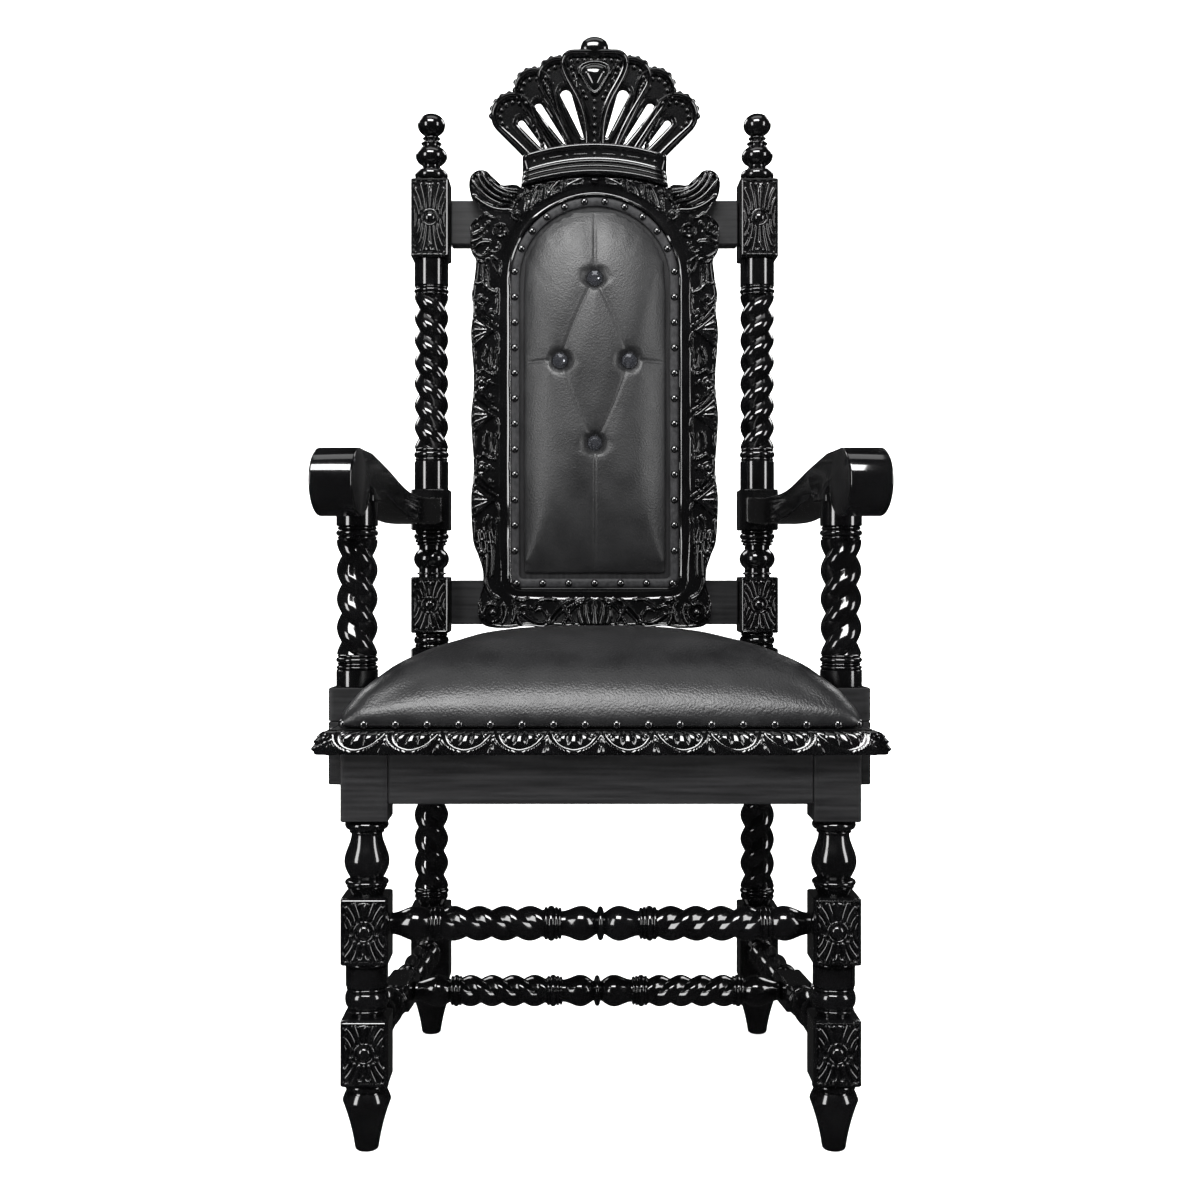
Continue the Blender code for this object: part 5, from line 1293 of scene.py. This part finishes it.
skins, small = [], []
loops = (
    ((0.11, 0.18), 0.0130, (0.355, 0.712), 0.0265, (0.115, 0.290), 0.0016, (0.274, 0.592), 0.0072),
    ((0.31, 0.17), 0.0120, (0.580, 0.640), 0.0255, (0.290, 0.250), 0.0016, (0.535, 0.505), 0.0052),
    ((0.54, 0.14), 0.0120, (0.785, 0.451), 0.0285, (0.510, 0.222), 0.0014, (0.700, 0.388), 0.0042),
)
for number, (base, base_r, tip, tip_r, slot_base, slot_base_r, slot_tip, slot_tip_r) in enumerate(loops, 1):
    centres = [(WIDE * share[0], crest + HIGH * share[1]) for share in (base, tip, slot_base, slot_tip)]
    outer = drop_outline(centres[0], base_r, centres[1], tip_r)
    slot = drop_outline(centres[2], slot_base_r, centres[3], slot_tip_r)
    front = CROWN_MIDDLE - 0.009 + 0.0017 * number
    loop = strap(outer, slot, front, CROWN_BACK - 0.0013 * number)
    gap = np.hypot(*(slot - outer).T)
    row = outer + (slot - outer) * np.minimum(0.0135 / gap, 0.5)[:, None]
    dots = beads_along(row[:72], 0.0084, 0.0034, front + 0.0054, lambda x, z: z > crest + 0.030)
    rib = inward(outer, 0.0016)[:40]
    scallops = beads_along(rib, 0.0090, 0.0046, front + 0.0070, lambda x, z: z > crest + 0.078)
    skins += [loop, mirrored(loop)]
    small += [*dots, *scallops, *(mirrored(dot) for dot in [*dots, *scallops])]

heart = smoothed([
    (0.0000, 1.1380), (0.0135, 1.1380), (0.0136, 1.1500), (0.0141, 1.1650), (0.0160, 1.1800),
    (0.0202, 1.1950), (0.0258, 1.2080), (0.0320, 1.2190), (0.0395, 1.2330), (0.0440, 1.2450),
    (0.0446, 1.2540), (0.0412, 1.2630), (0.0330, 1.2690), (0.0200, 1.2700), (0.0000, 1.2700),
], 10)
walked = walk(heart)
evenly = np.linspace(0, walked[-1], 150)
heart = whole_loop(np.stack([np.interp(evenly, walked, column) for column in heart.T], 1))
front = CROWN_MIDDLE - 0.009
grid = []
for distance, y in [(0.0, CROWN_BACK - 0.0008), *((distance, front - drop) for distance, drop in RIM)]:
    line = inward(heart, distance)
    grid.append(np.stack([line[:, 0], np.full(len(line), y), line[:, 1]], 1))
grid = np.array(grid).transpose(1, 0, 2)[:, ::-1]
middle_skin = skin(grid, around=False, along=True)
head = inward(heart, 0.0138)
head = head[(head[:, 1] > 1.2080) & (np.abs(head[:, 0]) > 0.0015)]
small += beads_along(head, 0.0080, 0.0033, front + 0.0054)
small += beads_along([(0, 1.2040), (0, 1.1520)], 0.0086, 0.0034, front + 0.0054)
turn = 2 * np.pi * np.arange(60) / 60
gem_line = np.stack([0.0203 * np.cos(turn) * (1 + 0.34 * np.sin(turn)), 1.2370 + 0.0175 * np.sin(turn)], 1)
gem_line[:, 1] += 0.0040 * np.cos(2 * turn) * (np.sin(turn) < 0) - 0.004 * np.clip(-np.sin(turn), 0, 1) ** 3
grid = []
for share, drop in (
    (1.04, -0.0048), (1.0, -0.0014), (0.94, -0.0004), (0.88, -0.0010), (0.83, -0.0030), (0.78, -0.0030),
    (0.72, -0.0008), (0.62, 0.0010), (0.46, 0.0026), (0.26, 0.0036), (0.0, 0.0040),
):
    line = (0, 1.2370) + (gem_line - (0, 1.2370)) * share
    grid.append(np.stack([line[:, 0], np.full(60, front - drop), line[:, 1]], 1))
small.append(skin(np.array(grid)[:, ::-1]))

base_profile = smoothed([
    (0.0, 0.0), (0.02, 0.0120), (0.10, 0.0150), (0.17, 0.0120), (0.19, 0.0098), (0.26, 0.0120),
    (0.31, 0.0110), (0.36, 0.0080), (0.42, 0.0098), (0.47, 0.0088), (0.50, 0.0060), (0.54, 0.0048),
    (0.80, 0.0048), (0.83, 0.0062), (0.88, 0.0090), (0.94, 0.0092), (0.985, 0.0070), (1.0, 0.0),
], 4)
x = np.linspace(-BASE_HALF, BASE_HALF, 160)[:, None]
fade = np.sqrt(np.clip(1 - (np.abs(x) / BASE_HALF) ** 24, 0, 1))
share, proud = base_profile[:, 0][None, :], base_profile[:, 1][None, :]
foot_line = crest_line(x) + GAP
widening = 0.955 + 0.045 * np.cos(share * np.pi * 2) * 0.4 + 0.02 * (share < 0.5)
face = np.stack(np.broadcast_arrays(
    x * widening, CROWN_MIDDLE - 0.004 - proud * fade, foot_line + BASE_HEIGHT * share), -1)
back = np.stack(np.broadcast_arrays(
    x * 0.95, np.full((1, 2), CROWN_BACK), foot_line + BASE_HEIGHT * np.array([[1.0, 0.0]])), -1)
skins.append(skin(capped(np.concatenate([face, back], 1))[:, ::-1]))


def on_base(stations, *sizes):
    """Beads on the flat of the base, at these distances left and then right of the middle."""
    return [
        dome((sign * x, CROWN_MIDDLE - 0.0086, float(crest_line(x)) + 0.0283), (0, -1, 0), *sizes)
        for sign in (-1, 1) for x in stations
    ]


for x in (0, 0.0354, 0.0650, 0.0770):
    small += on_base([x], 0.0024, 0.0020, 5, 12)
for x in (0.0183, 0.0500):
    small += on_base(np.linspace(x - 0.0075, x + 0.0075, 12), 0.0016, 0.0014, 4, 10)
latitude = np.linspace(-np.pi / 2, np.pi / 2, 25)[:, None]
turn = 2 * np.pi * np.arange(40)[None, :] / 40
knob = np.stack(np.broadcast_arrays(
    KNOB_WIDE * np.cos(latitude) * np.cos(turn),
    CROWN_MIDDLE - 0.001 + KNOB_DEEP * np.cos(latitude) * np.sin(turn),
    crown_top - KNOB_HIGH + KNOB_HIGH * np.sin(latitude)), -1)
skins.append(skin(knob))
piece("crown_straps", skins, lacquer, ["crown"], sharp=45)
piece("crown_heart", [middle_skin], lacquer, ["crown"], sharp=45, fill=True)
piece("crown_beads", small, lacquer, ["crown"], sharp=0)


# Studio. A pale floor runs up into a backdrop, and broad soft lights stand left, right and above,
# as in a catalogue photograph. The camera stands level in front, a little left of the middle.
s = np.linspace(0, 1, 40)
depth = np.concatenate([np.linspace(-9.0, 1.6, 10), 1.6 + 0.9 * np.sin(s[1:] * np.pi / 2), [2.5, 2.5]])
height = np.concatenate([np.zeros(10), 0.9 * (1 - np.cos(s[1:] * np.pi / 2)), [2.5, 4.5]])
wide = np.linspace(-9, 9, 3)
backdrop = np.stack(np.broadcast_arrays(wide[None, :], depth[:, None], height[:, None]), -1)
# The painted paper is barely visibly uneven.
paper = finish(
    "backdrop_paper",
    surface("backdrop paper", (3, 2), (60, 2), 0.0002,
            (0.86, 0.86, 0.86, 1), (0.88, 0.88, 0.88, 1), 0.7, 0.1, 0.1),
    Emission_Color=(1, 1, 1, 1), Emission_Strength=0.80,
)
mesh = bpy.data.meshes.new("backdrop")
points, quads = skin(backdrop, around=False)
mesh.from_pydata(points.tolist(), [], quads.tolist())
mesh.shade_smooth()
floor = bpy.data.objects.new("backdrop", mesh)
bpy.context.scene.collection.objects.link(floor)
floor.data.materials.append(paper)
floor.visible_glossy = False

for name, place, aim, size, power in (
    ("light_key", (-0.38, -2.3, 2.95), (0, 0, 0.7), (2.2, 1.1), 230),
    ("light_left", (-2.3, -2.0, 1.1), (0, 0, 0.6), (0.8, 1.9), 66),
    ("light_right", (2.5, -1.6, 1.2), (0, 0, 0.6), (0.7, 1.9), 56),
    ("light_top", (0, -0.2, 3.0), (0, 0.1, 0.5), (2.0, 0.9), 12),
    ("light_back_left", (-1.9, 1.9, 2.6), (0, 0.1, 0.7), (1.2, 1.2), 34),
    ("light_back_right", (1.9, 1.9, 2.6), (0, 0.1, 0.7), (1.2, 1.2), 34),
):
    lamp = bpy.data.lights.new(name, "AREA")
    lamp.shape = "RECTANGLE"
    lamp.size, lamp.size_y = size
    lamp.energy = power
    light = bpy.data.objects.new(name, lamp)
    light.location = place
    light.rotation_euler = (Vector(aim) - Vector(place)).to_track_quat("-Z", "Y").to_euler()
    bpy.context.scene.collection.objects.link(light)

world = bpy.data.worlds.new("studio")
world.use_nodes = True
world.node_tree.nodes["Background"].inputs["Color"].default_value = (1, 1, 1, 1)
ray = world.node_tree.nodes.new("ShaderNodeLightPath")
strength = world.node_tree.nodes.new("ShaderNodeMapRange")
strength.inputs["To Min"].default_value = 0.02
strength.inputs["To Max"].default_value = 1.0
world.node_tree.links.new(ray.outputs["Is Camera Ray"], strength.inputs["Value"])
world.node_tree.links.new(strength.outputs["Result"], world.node_tree.nodes["Background"].inputs["Strength"])
bpy.context.scene.world = world
bpy.context.scene.view_settings.view_transform = "Standard"

lens = bpy.data.cameras.new("camera")
lens.lens = 46.14
lens.sensor_width = 36.0
lens.shift_x = 0.025
lens.shift_y = -0.0275
camera = bpy.data.objects.new("camera", lens)
camera.location = (-0.0316, -1.788975, 0.6046)
camera.rotation_euler = (math.pi / 2, 0, 0)
bpy.context.scene.collection.objects.link(camera)
bpy.context.scene.camera = camera
